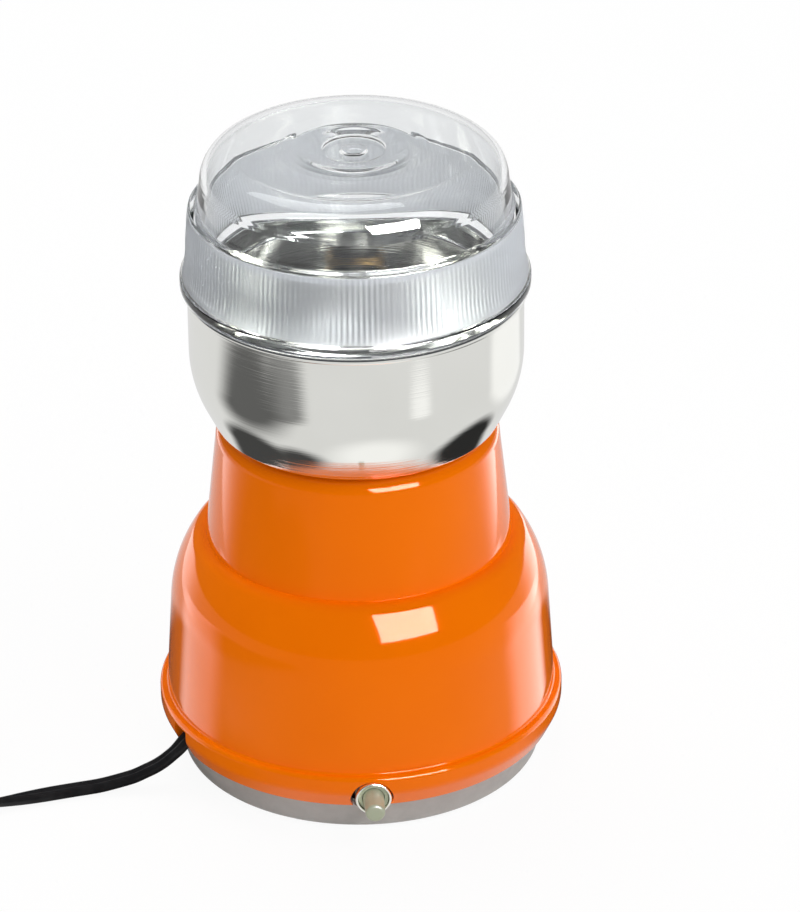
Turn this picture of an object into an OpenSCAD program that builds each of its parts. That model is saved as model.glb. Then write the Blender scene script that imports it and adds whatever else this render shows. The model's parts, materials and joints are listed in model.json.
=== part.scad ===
// Small electric chopper: bell-shaped motor housing on a base, fixed steel bowl, clear lid,
// push button on the base seam and a flat two-core lead. Millimetres, +Z up.
// The origin is on the table, on the axis that the blade turns about. The button faces -Y.

/* [Base and flange] */
// Height of the rubber feet below the base
foot_stand = 0.5; // [0.4:0.1:2]
// Radius of a rubber foot
foot_r = 5; // [3:0.1:6]
// Depth of a foot's pocket in the base floor
foot_pocket = 1; // [0.6:0.1:1.4]
// Distance of the feet's middles inside the base wall
foot_inset = 10.9; // [9.4:0.1:16]
// Lean of the base wall, from the flange to the table
base_lean = 1.95; // [1.2:0.05:2.4]
// Rounding of the base's lower edge
base_round = 1.6; // [0.5:0.1:3]
// Thickness of the base wall
base_wall = 2.2; // [1.6:0.1:2.6]
// Thickness of the base floor
base_floor = 2.2; // [1.8:0.1:3]
// Gap between the base lip and the flange
base_fit = 0.15; // [0.05:0.05:0.4]
// Height of the flange's lower edge above the table
flange_z = 9.2; // [8.6:0.1:10]
// Height of the flange band
flange_h = 9.4; // [8.8:0.1:10.4]
// Outer radius of the flange
flange_r = 52.7; // [52:0.1:56]
// Rounding of the flange's upper edge
flange_round = 1.2; // [0.4:0.1:2]
// Height of the flange's sloping lower part
bevel_h = 4.8; // [3:0.1:5.4]
// Distance that this part slopes in
bevel_w = 2.3; // [1.8:0.1:2.6]
// Thickness of the flange at its lower edge
flange_lip = 1.4; // [1.2:0.1:1.8]

/* [Housing] */
// Wall of the housing
housing_wall = 2.4; // [1.8:0.1:2.8]
// Width of the flange's step outside the body
flange_step = 2; // [1.4:0.1:2.4]
// Lean of the body wall, from the flange to the shoulder
body_lean = 1.6; // [0.9:0.1:2.6]
// Height of the body wall above the flange
body_h = 25.4; // [22:0.1:29]
// Angle by which the shoulder's curve leans in at its end
shoulder_turn = 34; // [32:0.5:36]
// Rounding of the edge between this curve and the ledge around the neck
shoulder_edge = 2; // [1.4:0.1:2.4]
// Radius of the neck where it stands on this ledge
neck_low_r = 39.5; // [38.6:0.1:40]
// Height of the ledge above the shoulder's start
neck_rise = 18.75; // [17.75:0.05:19.75]
// Lean of the neck, from its foot to its top
neck_lean = 3.15; // [2.4:0.05:3.6]
// Length of the neck's straight side
neck_h = 27.75; // [25:0.05:32]
// Rounding of the neck's top edge
neck_round = 4; // [2:0.1:5]
// Thickness of the deck that closes the neck
deck_t = 3; // [2:0.1:4]
// Radius of a screw post in the housing
post_r = 4.2; // [3.4:0.1:5]
// Distance of the screw posts inside the flange's outer edge
post_inset = 12.2; // [11.6:0.1:14.6]
// Height of a screw post in the housing
post_h = 15; // [14:0.5:20]
// Thickness of the web that ties a post to the wall
post_web = 1.6; // [1.2:0.1:2.4]
// Gap between the base floor and the screw posts' lower ends
post_lift = 16; // [14:0.5:19]

/* [Bowl] */
// Outer radius of the bowl
bowl_r = 42.45; // [41.5:0.05:43.5]
// Thickness of the bowl's sheet
bowl_t = 0.8; // [0.6:0.1:1.2]
// Height of the bowl from its floor to its rim
bowl_h = 37.9; // [36:0.1:44]
// Radius of the curve from the bowl's side towards its floor
bowl_bend = 31; // [29:0.5:33]
// Angle that this curve turns through
bowl_turn = 26; // [22:1:29]
// Height of the cone between the curve and the corner
bowl_cone_h = 5.6; // [4:0.1:6.4]
// Radius of the corner between the cone and the flat floor
bowl_corner = 2.4; // [1.6:0.1:3.2]
// Radius of the rolled rim's bead
rim_bead = 1.1; // [0.9:0.05:1.4]
// Distance that the rolled rim stands out from the bowl's side
rim_reach = 0.85; // [0.5:0.05:1.2]
// Thickness of the gasket under the bowl
gasket_t = 0.6; // [0.4:0.1:1.2]
// Distance of the bowl screws from the axis
bowl_screw_circle_r = 20; // [16:0.5:22]

/* [Lid] */
// Gap between the lid and the bowl's rim
lid_gap = 0.3; // [0.2:0.05:0.6]
// Distance that the lid's lower flange stands out beyond the bowl's rim
lid_overhang = 0.9; // [0.6:0.1:2.7]
// Height of the lid's lower flange
lid_flange_h = 3; // [2:0.1:4]
// Distance of the ribbed skirt's foot inside this flange
skirt_step = 0.7; // [0.5:0.1:1.2]
// Distance that the skirt curves in up to half its height
skirt_hollow = 1; // [0.7:0.1:1.3]
// Distance that the skirt leans in from there to its top
skirt_lean = 0.7; // [0.4:0.1:1]
// Height of the skirt above the flange
skirt_h = 18.3; // [15:0.1:22]
// Distance of the dome's foot inside the skirt's top
dome_step = 2.1; // [1.4:0.1:2.8]
// Lean of the dome, from its foot to its rounded top edge
dome_lean = 1.1; // [0.8:0.1:2.2]
// Height of the dome above the skirt
dome_h = 15.4; // [12:0.1:20]
// Rounding of the dome's top edge
dome_round = 8.5; // [5:0.1:10]
// Wall of the lid
lid_wall = 1.8; // [1.4:0.1:2.2]
// Depth of the lid's spigot in the bowl
spigot_h = 6.5; // [4:0.1:9]
// Radial gap between the spigot and the bowl
spigot_fit = 0.35; // [0.25:0.05:0.6]
// Radius of the fine step around the middle of the lid's top
ring_r = 15.6; // [14:0.1:18]
// Depth of this step
ring_h = 0.2; // [0.1:0.05:0.4]
// Outer radius of the shallow dish inside the step
dish_r = 12.5; // [11:0.1:13.4]
// Depth of the dish's slope
dish_depth = 0.4; // [0.2:0.05:0.6]
// Radius of the well in the middle of the dish
well_r = 8; // [7:0.1:10]
// Depth of the well
well_depth = 0.3; // [0.2:0.05:0.5]
// Radius of the nub in the middle of the well
nub_r = 3.4; // [2:0.1:5]
// Height of the nub
nub_h = 0.4; // [0.2:0.05:0.6]

/* [Blade] */
// Length of a blade arm from the axis
blade_r = 30; // [24:0.5:31]
// Width of the blade at its middle
blade_w = 12; // [10:0.5:14]
// Width of a blade arm at its tip
blade_tip_w = 6; // [4:0.5:9]
// Thickness of the blade
blade_t = 1.2; // [0.8:0.1:1.6]
// Twist of each blade arm
blade_tilt = 10; // [0:1:14]
// Radius of the hub under the blade
hub_r = 6.2; // [5.5:0.1:7]
// Height of the hub
hub_h = 4.2; // [3.6:0.1:6]
// Radius of the nut on the blade
nut_r = 4.6; // [4.2:0.1:5.5]
// Height of the nut
nut_h = 5; // [4:0.1:6]

/* [Motor] */
// Radius of the motor shaft
shaft_r = 3; // [2.5:0.1:3.4]
// Running clearance between the shaft and its bearings
shaft_run = 0.04; // [0.02:0.01:0.08]
// Clearance of pieces that are pressed together
seat_fit = 0.02; // [0.01:0.01:0.05]
// Clearance of screws in their holes
screw_fit = 0.05; // [0.03:0.01:0.2]
// Outer radius of a shaft bearing
bearing_r = 6; // [5.4:0.1:7]
// Length of a shaft bearing
bearing_l = 8.5; // [6:0.1:10]
// Wall around a bearing
bearing_wall = 3.5; // [2:0.1:5]
// Thickness of a motor bracket's plate
bracket_t = 3; // [2.4:0.1:4]
// Gap between the motor brackets' plates and the neck
bracket_gap = 3.5; // [2.4:0.1:4.4]
// Length of the upper bracket's legs
upper_leg = 14.5; // [13.5:0.1:16]
// Length of the lower bracket's legs
lower_leg = 21; // [20:0.1:24]
// Height of the stator and armature stacks
stack_h = 20; // [16:0.5:24]
// Length of the stator across the bolts
stator_x = 58; // [56:0.5:60]
// Width of the stator across the poles
stator_y = 50; // [48:0.5:52]
// Radius that trims the stator's corners
stator_corner_r = 32; // [31:0.1:33]
// Width of a stator pole
pole_w = 26.4; // [25:0.1:27]
// Room for a field coil's side
coil_slot_w = 8; // [7:0.1:8.5]
// Length of the slots for the field coils
coil_slot_l = 38; // [37:0.1:39]
// Depth of a field coil, along the pole
coil_depth = 5; // [4:0.1:5.2]
// Height that a field coil stands above the stack
coil_rise = 5; // [3:0.1:6]
// Gap around a field coil
coil_gap = 0.4; // [0.2:0.1:0.6]
// Radius of the armature
armature_r = 15; // [14:0.1:15.5]
// Air gap between the armature and the stator
air_gap = 0.4; // [0.3:0.1:0.8]
// Number of armature slots
armature_slots = 12; // [8:1:14]
// Gap between the armature's end windings and the field coils
winding_gap = 0.6; // [0.4:0.1:2.6]
// Height of the armature's end windings
winding_h = 5.6; // [4:0.1:6]
// Radius of the commutator
commutator_r = 9; // [8:0.1:9.5]
// Length of the commutator
commutator_h = 9; // [8:0.1:10]
// Number of commutator bars
commutator_bars = 12; // [8:1:24]
// Radius of a motor bolt
bolt_r = 2; // [1.5:0.1:2.2]
// Distance of the motor bolts inside the stator's ends
bolt_edge = 3.7; // [3.2:0.1:4]
// Radius of a bracket leg
leg_r = 4; // [3.4:0.1:4]

/* [Brushes] */
// Width of a carbon brush
brush_w = 5; // [4:0.1:6]
// Height of a carbon brush
brush_h = 6; // [5:0.1:7]
// Length of a carbon brush
brush_l = 9; // [8:0.1:10]
// Gap between a brush and the commutator
brush_gap = 0.3; // [0.2:0.05:0.5]
// Sliding clearance of a brush in its holder
brush_fit = 0.1; // [0.05:0.01:0.15]
// Wall of a brush holder
holder_wall = 1; // [0.8:0.1:1.4]
// Travel of a brush in its holder
brush_travel = 2.5; // [1.5:0.1:3]
// Length of a compressed brush spring
brush_spring_min = 3.2; // [2.6:0.1:4]

/* [Button and switch] */
// Height of the button's axis above the flange's lower edge
button_rise = 2.7; // [2.4:0.1:3.2]
// Radius of the opening for the button
button_hole_r = 5.5; // [5.3:0.1:5.6]
// Distance of this opening's middle to the left of the button
button_hole_shift = 0.4; // [0:0.1:0.5]
// Outer radius of the collar
collar_r = 4.65; // [4.5:0.05:4.9]
// Length of the collar
collar_l = 5.6; // [5:0.1:6]
// Distance of the collar's face inside the flange's outer edge
collar_inset = 0.8; // [0.5:0.1:1.4]
// Radius of the switch barrel
barrel_r = 3.9; // [3.8:0.05:4]
// Radius of the button cap
cap_r = 2.7; // [2.5:0.05:3]
// Radius of the cap's tip
cap_tip_r = 2.5; // [2:0.05:2.5]
// Distance that the cap stands out of the collar
cap_reach = 7; // [6:0.1:8.5]
// Rounding of the cap's tip
cap_round = 0.9; // [0.3:0.1:1.2]
// Sliding clearance of the cap in the barrel
cap_fit = 0.1; // [0.05:0.01:0.2]
// Travel of the button
button_travel = 3; // [2:0.1:3.2]
// Radius of the cap's inner head
head_r = 4.1; // [3.9:0.05:4.3]
// Thickness of the cap's inner head
head_t = 1.4; // [1:0.1:1.6]
// Width and height of the switch body
switch_w = 12; // [11:0.1:13]
// Wall behind the switch's spring
switch_back = 1.8; // [1.2:0.1:2.4]
// Length of the pressed button spring
button_spring_min = 1.5; // [1.3:0.1:2]
// Thickness of the saddle that carries the switch
saddle_t = 2.2; // [1.6:0.1:2.6]
// Width of this saddle
saddle_w = 16; // [14:0.5:17]

/* [Fasteners] */
// Radius of the base screws
base_screw_r = 1.5; // [1.2:0.05:1.7]
// Radius of the base screws' heads
base_screw_head_r = 2.8; // [2.4:0.1:3]
// Height of the base screws' heads
base_screw_head_h = 1.8; // [1.4:0.1:2.2]
// Depth of the base screws' thread in the posts
base_screw_bite = 10; // [8:0.5:12]
// Material under a base screw's head
base_screw_floor = 2.4; // [2:0.1:3]
// Radius of the bowl screws
bowl_screw_r = 1.5; // [1.2:0.05:1.7]
// Radius of the bowl screws' heads
bowl_screw_head_r = 2.8; // [2.4:0.1:3.2]
// Height of the bowl screws' heads
bowl_screw_head_h = 1.6; // [1.2:0.1:1.8]
// Radius of the motor bolts' heads
bolt_head_r = 3.5; // [3:0.1:3.8]
// Height of the motor bolts' heads
bolt_head_h = 3; // [2:0.1:4]

/* [Lead] */
// Width of the flat lead
cord_w = 4.8; // [4.4:0.1:5]
// Thickness of the flat lead
cord_t = 2.6; // [2.2:0.1:2.8]
// Width of the lead's opening in the flange
cord_hole_w = 6.4; // [6.2:0.1:8]
// Height of this opening's top below the top of the flange
cord_hole_drop = 1.6; // [1.4:0.1:1.8]
// Depth of this opening below the flange's lower edge
cord_hole_sink = 0.5; // [0.3:0.1:2]
// Direction of the opening, turned from the button
cord_turn = 66.3; // [64:0.1:68]
// Radius of the coil's outer turn
coil_r = 28.6; // [27:0.1:30]
// Step between turns side by side
coil_step = 3.6; // [3.4:0.1:4]
// Step between layers of turns
coil_layer = 5.5; // [5.4:0.1:6]
// Number of turns in the coil
coil_turns = 4.32; // [3.32:1:5.32]
// Thickness of the coil's tie
tie_t = 0.6; // [0.4:0.1:0.7]
// Width of the coil's tie
tie_w = 5; // [3:0.5:8]
// Gap between the tie and the coil
tie_gap = 0.1; // [0.05:0.01:0.2]
// Width of the plug's face
plug_w = 35.3; // [34:0.1:37]
// Thickness of the plug
plug_t = 13.7; // [13:0.1:14]
// Length of the plug's body
plug_l = 36; // [32:0.5:38]
// Width of the plug at its back
plug_back_w = 14; // [12:0.5:20]
// Length of the plug's parallel part
plug_front_l = 14; // [10:0.5:18]
// Radius of the plug's strain relief at its thin end
boot_r = 3.6; // [3.4:0.1:4.2]
// Radius of the plug's strain relief at the body
boot_base_r = 5; // [4.6:0.1:6]
// Length of the plug's strain relief
boot_l = 20; // [18:0.5:24]
// Radius of a plug pin
pin_r = 2; // [1.9:0.05:2.4]
// Length of a plug pin
pin_l = 19; // [18:0.1:19]
// Distance between the plug pins
pin_pitch = 18.6; // [17.5:0.1:19]
// Depth of the pins inside the plug
pin_root = 8; // [6:0.5:12]

/* [Hidden] */
$fn = 96;
eps = 0.01;

// Heights of the stack, from the table up
base_z = foot_stand;
floor_z = base_z + base_floor;
flange_top = flange_z + flange_h;
ledge_z = flange_top - housing_wall;
shoulder_z = flange_top + body_h;
neck_low_z = shoulder_z + neck_rise;
neck_z = neck_low_z + neck_h;
deck_z = neck_z + neck_round;
deck_under = deck_z - deck_t;
bowl_z = deck_z + gasket_t;
bowl_floor_z = bowl_z + bowl_t;
rim_z = bowl_z + bowl_h;
lid_z = rim_z + lid_gap;
skirt_z = lid_z + lid_flange_h;
skirt_top = skirt_z + skirt_h;
lid_top = skirt_top + dome_h;

// Radii that follow from the walls
flange_foot_r = flange_r - bevel_w;
flange_in_r = flange_foot_r - flange_lip;
body_low_r = flange_r - flange_step;
body_r = body_low_r - body_lean;
body_in_r = body_low_r - housing_wall;
neck_r = neck_low_r - neck_lean;
base_lip_r = flange_in_r - base_fit;
base_low_r = base_lip_r - base_lean;
foot_circle_r = base_low_r - foot_inset;
post_circle_r = flange_r - post_inset;
base_in_low_r = base_low_r - base_wall;
base_in_top_r = base_lip_r - base_wall;
bowl_in_r = bowl_r - bowl_t;
spigot_r = bowl_in_r - spigot_fit;
lid_in_r = spigot_r - lid_wall;
rim_r = bowl_r + rim_reach;
lid_flange_r = rim_r + lid_overhang;
skirt_low_r = lid_flange_r - skirt_step;
skirt_mid_r = skirt_low_r - skirt_hollow;
skirt_top_r = skirt_mid_r - skirt_lean;
dome_low_r = skirt_top_r - dome_step;
dome_r = dome_low_r - dome_lean;

// Motor stack, hung from the deck
upper_plate_z = deck_under - bracket_t;
stack_top = upper_plate_z - upper_leg;
stack_z = stack_top - stack_h;
lower_plate_top = stack_z - lower_leg;
lower_plate_z = lower_plate_top - bracket_t;
stack_space = 0.3;
bracket_r = neck_r - housing_wall - bracket_gap;
bolt_x = stator_x / 2 - bolt_edge;
coil_side = pole_w / 2 + coil_slot_w - coil_gap;
coil_front = coil_slot_l / 2 - coil_gap;
winding_r = coil_front - coil_depth - winding_gap;
bearing_seat_r = bearing_r + seat_fit;
bearing_boss_r = bearing_r + bearing_wall;
boss_floor = 1.5;
upper_bearing_z = deck_under - bearing_l;
lower_bearing_z = lower_plate_top - bearing_l;
thrust_gap = 0.3;
shaft_z = lower_bearing_z + thrust_gap;
stator_bore_r = armature_r + air_gap;
commutator_z = stack_z - stack_space - winding_h - stack_space - commutator_h;
leg_hole_r = bolt_r + screw_fit;
motor_bolts_at = [[bolt_x, 0], [-bolt_x, 0]];

// Bush through the bowl's floor, blade and nut above it
bush_wall = 2;
bush_r = shaft_r + shaft_run + bush_wall;
bush_flange_w = 2.4;
bush_flange_r = bush_r + bush_flange_w;
bush_flange_t = 1.2;
bush_top = bowl_floor_z + bush_flange_t;
hub_gap = 0.5;
hub_z = bush_top + hub_gap;
blade_z = hub_z + hub_h;
nut_z = blade_z + blade_t;
nut_dome = 1;
nut_skin = 1.4;
shaft_top = nut_z + nut_h - nut_dome - nut_skin;

// Fastener places
base_screw_angles = [45, 135, 225, 315];
foot_angles = [0, 90, 180, 270];
bowl_screw_angles = [90, 210, 330];
post_z = floor_z + post_lift;
base_screw_seat = base_z + base_screw_head_h + base_screw_floor;

// Button and switch, along -Y
button_z = flange_z + button_rise;
collar_face = flange_r - collar_inset;
collar_back = collar_face - collar_l;
saddle_back = collar_back - saddle_t;
barrel_sink = 1;
barrel_front = collar_face - barrel_sink;
barrel_bore_r = cap_r + cap_fit;
chamber_r = head_r + cap_fit;
chamber_wall = 1.6;
chamber_front = saddle_back - chamber_wall;
head_front = chamber_front - cap_fit;
head_back = head_front - head_t;
chamber_back = head_back - button_travel - button_spring_min;
switch_rear = chamber_back - switch_back;
cap_tip = collar_face + cap_reach;
saddle_top = button_z + collar_r + saddle_t;

// Brushes, along Y on both sides of the commutator
brush_z = commutator_z + commutator_h / 2;
brush_front = commutator_r + brush_gap;
brush_rear = brush_front + brush_l;
brush_show = 1.2;
holder_front = brush_front + brush_show;
holder_end = brush_rear + brush_travel + brush_spring_min;
holder_in_w = brush_w + 2 * brush_fit;
holder_in_h = brush_h + 2 * brush_fit;

// Lead: route of the free stretch, from the clamp through the flange and along the table
cord_lift = tie_t + 2 * tie_gap;
coil_z = cord_lift + cord_w / 2;
cord_flat_z = 1.5;
cord_exit = flange_r * [cos(-90 - cord_turn), sin(-90 - cord_turn)];
// Each point: distances from the exit, and the share of the drop from the flange to the table
cord_fall = [
  [14.65, 6.43, 1.753], [11.45, 5.02, 1.753], [8.24, 3.62, 1.753], [4.58, 2.01, 1.701],
  [1.83, 0.8, 1.494], [-0.7, -0.07, 1.169], [-2.78, -0.29, 0.922], [-4.87, -0.51, 0.714],
  [-7.06, -0.74, 0.552],
  [-9.15, -0.96, 0.435], [-11.24, -1.18, 0.318], [-13.33, -1.4, 0.234], [-17.5, -1.84, 0.117],
  [-21.68, -2.28, 0.026], [-27.7, -3.3, 0], [-33.7, -4.7, 0], [-39.7, -6.2, 0], [-46.7, -7.8, 0]
];
// Each point: distances from the exit, and the share of the climb from the table to the coil
cord_climb = [
  [-52.7, -9.1, 0.18], [-59.7, -10.2, 0.59], [-65.7, -10.9, 0.94], [-70.7, -11.2, 1], [-76.7, -11.2, 1]
];
cord_route = concat(
  [for (p = cord_fall)
    [cord_exit[0] + p[0], cord_exit[1] + p[1], cord_flat_z + p[2] * (flange_z - cord_flat_z)]],
  [for (p = cord_climb)
    [cord_exit[0] + p[0], cord_exit[1] + p[1], cord_flat_z + p[2] * (coil_z - cord_flat_z)]]);
coil_start = cord_route[len(cord_route) - 1];
// The lead lies flat until this point of the route, then turns on edge over the next points
cord_flat_until = 15;
cord_edge_over = 5;

// Coil: a straight lead-in, turns that spiral in and out in two layers, a straight lead-out
coil_lead_in = 5;
coil_centre = [coil_start[0] - coil_lead_in, coil_start[1] + coil_r];
loop_rings = 24;
coil_rings = round(coil_turns * loop_rings);
coil_half = coil_turns / 2;
coil_climb = 0.5;
coil_end_turn = 360 * coil_turns;
coil_end_dir = [-cos(coil_end_turn), sin(coil_end_turn), 0];
plug_z = plug_t / 2;
lead_out = 26;
lead_drop_from = 8;
lead_drop_over = 12;
coil_inner_r = coil_r - coil_step * coil_half;

// Clamp on the inner end of the lead
clamp_at = cord_route[1];
clamp_l = 8;
clamp_w = 18;
clamp_t = 2.6;
clamp_pitch = 12;
clamp_post_r = 2.8;
clamp_screw_r = 1.2;
clamp_screw_head_r = 2.2;
clamp_screw_head_h = 1.4;
clamp_screw_bite = 6;
clamp_gap = 0.1;
clamp_rib = 3;
clamp_angle = atan2(cord_route[2][1] - cord_route[0][1], cord_route[2][0] - cord_route[0][0]);
clamp_low = clamp_at[2] - cord_t / 2 - clamp_gap;
clamp_high = clamp_at[2] + cord_t / 2 + clamp_gap;

// Vents in the base floor
vent_count = 8;
vent_w = 2.4;
vent_in_r = 14;
vent_out_r = 26;

// Points of an arc about (c, z), from angle a to angle b
function arc(c, z, r, a, b, n = 10) =
  [for (i = [0:n]) [c + r * cos(a + (b - a) * i / n), z + r * sin(a + (b - a) * i / n)]];

// Points of a smooth bend from a to b that leaves and arrives towards the corner
function bend(a, corner, b, n = 8) =
  [for (i = [0:n]) let (t = i / n) (1 - t) * (1 - t) * a + 2 * t * (1 - t) * corner + t * t * b];

function unit(v) = v / norm(v);
function smooth(t) = let (u = min(1, max(0, t))) u * u * (3 - 2 * u);

// A profile moved sideways by w, to the left of its direction
function moved(pts, w) =
  let (n = len(pts) - 1)
  [for (i = [0:n])
    let (d = unit(pts[min(i + 1, n)] - pts[max(i - 1, 0)])) pts[i] + w * [-d[1], d[0]]];

function reversed(list) = [for (i = [len(list) - 1:-1:0]) list[i]];

// Side of the body, shoulder and neck, from the flange up
shoulder_start = atan2(body_lean, body_h);
shoulder_round = (neck_rise - shoulder_edge * (1 - sin(shoulder_turn)))
  / (sin(shoulder_turn) - sin(shoulder_start));
shoulder_c = [body_r, shoulder_z] - shoulder_round * [cos(shoulder_start), sin(shoulder_start)];
edge_c = shoulder_c + (shoulder_round - shoulder_edge) * [cos(shoulder_turn), sin(shoulder_turn)];
neck_foot = [neck_low_r, neck_low_z];
neck_head = [neck_r, neck_z];
neck_way = (neck_head - neck_foot) / neck_h;
ledge_w = edge_c[0] - neck_low_r;
body_side = concat([[body_low_r, flange_top]],
                   arc(shoulder_c[0], shoulder_c[1], shoulder_round, shoulder_start, shoulder_turn, 14),
                   arc(edge_c[0], edge_c[1], shoulder_edge, shoulder_turn, 90, 6),
                   bend(neck_foot + [ledge_w, 0], neck_foot, neck_foot + ledge_w * neck_way, 6),
                   [neck_head]);
body_inside = concat([[body_in_r, flange_top]],
                     arc(shoulder_c[0], shoulder_c[1], shoulder_round - housing_wall,
                         shoulder_start, shoulder_turn, 14),
                     [neck_foot - housing_wall * neck_way - [housing_wall, 0],
                      neck_head - [housing_wall, 0]]);
housing_outer = concat(
  [[flange_in_r, flange_z], [flange_foot_r, flange_z], [flange_r, flange_z + bevel_h]],
  arc(flange_r - flange_round, flange_top - flange_round, flange_round, 0, 90, 5),
  body_side,
  arc(neck_r - neck_round, neck_z, neck_round, 0, 90, 8));

// Side of the bowl, from its floor's edge up to the bead of its rim
rim_foot = acos((rim_bead - rim_reach) / rim_bead);
bowl_rise = bowl_bend * sin(bowl_turn) + bowl_cone_h + bowl_corner * (1 - sin(bowl_turn));
bowl_bend_z = bowl_z + bowl_rise;
bowl_curve = reversed(arc(bowl_r - bowl_bend, bowl_bend_z, bowl_bend, 0, -bowl_turn, 12));
bowl_cone_low = bowl_curve[0] - bowl_cone_h * [tan(bowl_turn), 1];
bowl_corner_c = bowl_cone_low - bowl_corner * [cos(bowl_turn), -sin(bowl_turn)];
bowl_outer = concat(arc(bowl_corner_c[0], bowl_corner_c[1], bowl_corner, -90, -bowl_turn, 5),
                    bowl_curve, [[bowl_r, rim_z - rim_bead - rim_bead * sin(rim_foot)]]);
bowl_inner = moved(bowl_outer, bowl_t);
bowl_flat_r = bowl_corner_c[0];
bowl_rim = arc(rim_r - rim_bead, rim_z - rim_bead, rim_bead, -rim_foot, 90, 8);

module turned(points) {
  rotate_extrude() polygon(points);
}

module ring(r_out, r_in, h) {
  difference() {
    cylinder(r = r_out, h = h);
    translate([0, 0, -1]) cylinder(r = r_in, h = h + 2);
  }
}

// Copies its children at each angle, at a distance from the axis
module around(angles, r) {
  for (a = angles) rotate(a) translate([r, 0, 0]) children();
}

// Turns a piece that was drawn along +Z so that it points along -Y, from the axis out
module towards_front() {
  rotate([90, 0, 0]) children();
}

// Tube along a list of [point, direction, roll], with a flat oval section of n sides
function section(p, d, roll, w, t, n) =
  let (side = unit(cross([0, 0, 1], d)), up = cross(d, side))
  [for (k = [0:n - 1])
    let (a = 360 * (k + 0.5) / n, x = w / 2 * cos(a) / cos(180 / n), y = t / 2 * sin(a) / cos(180 / n))
    p + side * (x * cos(roll) - y * sin(roll)) + up * (x * sin(roll) + y * cos(roll))];

module tube(path, w, t, n) {
  last = len(path) - 1;
  points = [for (q = path) each section(q[0], q[1], q[2], w, t, n)];
  sides = [for (i = [0:last - 1], k = [0:n - 1])
    let (a = i * n + k, b = i * n + (k + 1) % n) each [[a, a + n, b], [b, a + n, b + n]]];
  start = [for (k = [1:n - 2]) [0, k, k + 1]];
  end = [for (k = [1:n - 2]) [last * n, last * n + k + 1, last * n + k]];
  polyhedron(points, concat(sides, start, end));
}

// Adds directions to a list of points
function directed(pts, roll) =
  let (n = len(pts) - 1)
  [for (i = [0:n]) [pts[i], unit(pts[min(i + 1, n)] - pts[max(i - 1, 0)]), roll]];

// Spring wound about the Z axis
function spring_path(r, l, turns, rings = 10) =
  [for (i = [0:turns * rings])
    let (a = 360 * i / rings, s = i / (turns * rings))
    [[r * cos(a), r * sin(a), l * s], unit([-sin(a), cos(a), l / (turns * 2 * PI * r)]), 0]];

module spring(r, wire, l, turns) {
  translate([0, 0, wire / 2]) tube(spring_path(r, l - wire, turns), wire, wire, 6);
}

// Housing

module post_shape(r) {
  around(base_screw_angles, post_circle_r) translate([0, 0, post_z]) cylinder(r = r, h = post_h);
}

module post_webs() {
  for (a = base_screw_angles)
    rotate(a) translate([post_circle_r, -post_web / 2, post_z])
      cube([flange_r - post_circle_r, post_web, post_h]);
}

// Everything inside the outer skin, above the posts' lower ends
module housing_core() {
  turned(concat([[0, post_z], [body_side[0][0] - housing_wall / 2, post_z]],
                moved([for (i = [1:len(body_side) - 1]) body_side[i]], housing_wall / 2),
                [[0, neck_z]]));
}

module cord_opening(r_in, low, high) {
  rotate(-90 - cord_turn)
    translate([r_in, -cord_hole_w / 2, low]) cube([flange_r, cord_hole_w, high - low]);
}

module button_opening() {
  translate([-button_hole_shift, -collar_back, button_z]) towards_front()
    cylinder(r = button_hole_r, h = flange_r - collar_back + 1);
}

module housing() {
  color("darkorange") difference() {
    union() {
      turned(concat(housing_outer,
                    [[bush_r + screw_fit, deck_z], [bush_r + screw_fit, deck_under],
                     [neck_r - housing_wall, deck_under]],
                    reversed(body_inside),
                    [[body_in_r, ledge_z], [flange_in_r, ledge_z]]));
      intersection() {
        union() {
          post_shape(post_r);
          post_webs();
        }
        housing_core();
      }
    }
    around(base_screw_angles, post_circle_r)
      translate([0, 0, post_z - eps]) cylinder(r = base_screw_r + screw_fit, h = base_screw_bite + 1);
    around(bowl_screw_angles, bowl_screw_circle_r)
      translate([0, 0, deck_under - 1]) cylinder(r = bowl_screw_r + screw_fit, h = deck_t + 2);
    button_opening();
    cord_opening(base_in_low_r, flange_z - 1, flange_top - cord_hole_drop);
  }
}

// Base

module base_shell() {
  turned(concat(
    [[0, base_z]],
    arc(base_low_r - base_round, base_z + base_round, base_round, -90, 0, 6),
    [[base_lip_r, flange_z], [base_lip_r, ledge_z], [base_in_top_r, ledge_z], [base_in_top_r, flange_z],
     [base_in_low_r, floor_z], [0, floor_z]]));
}

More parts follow.
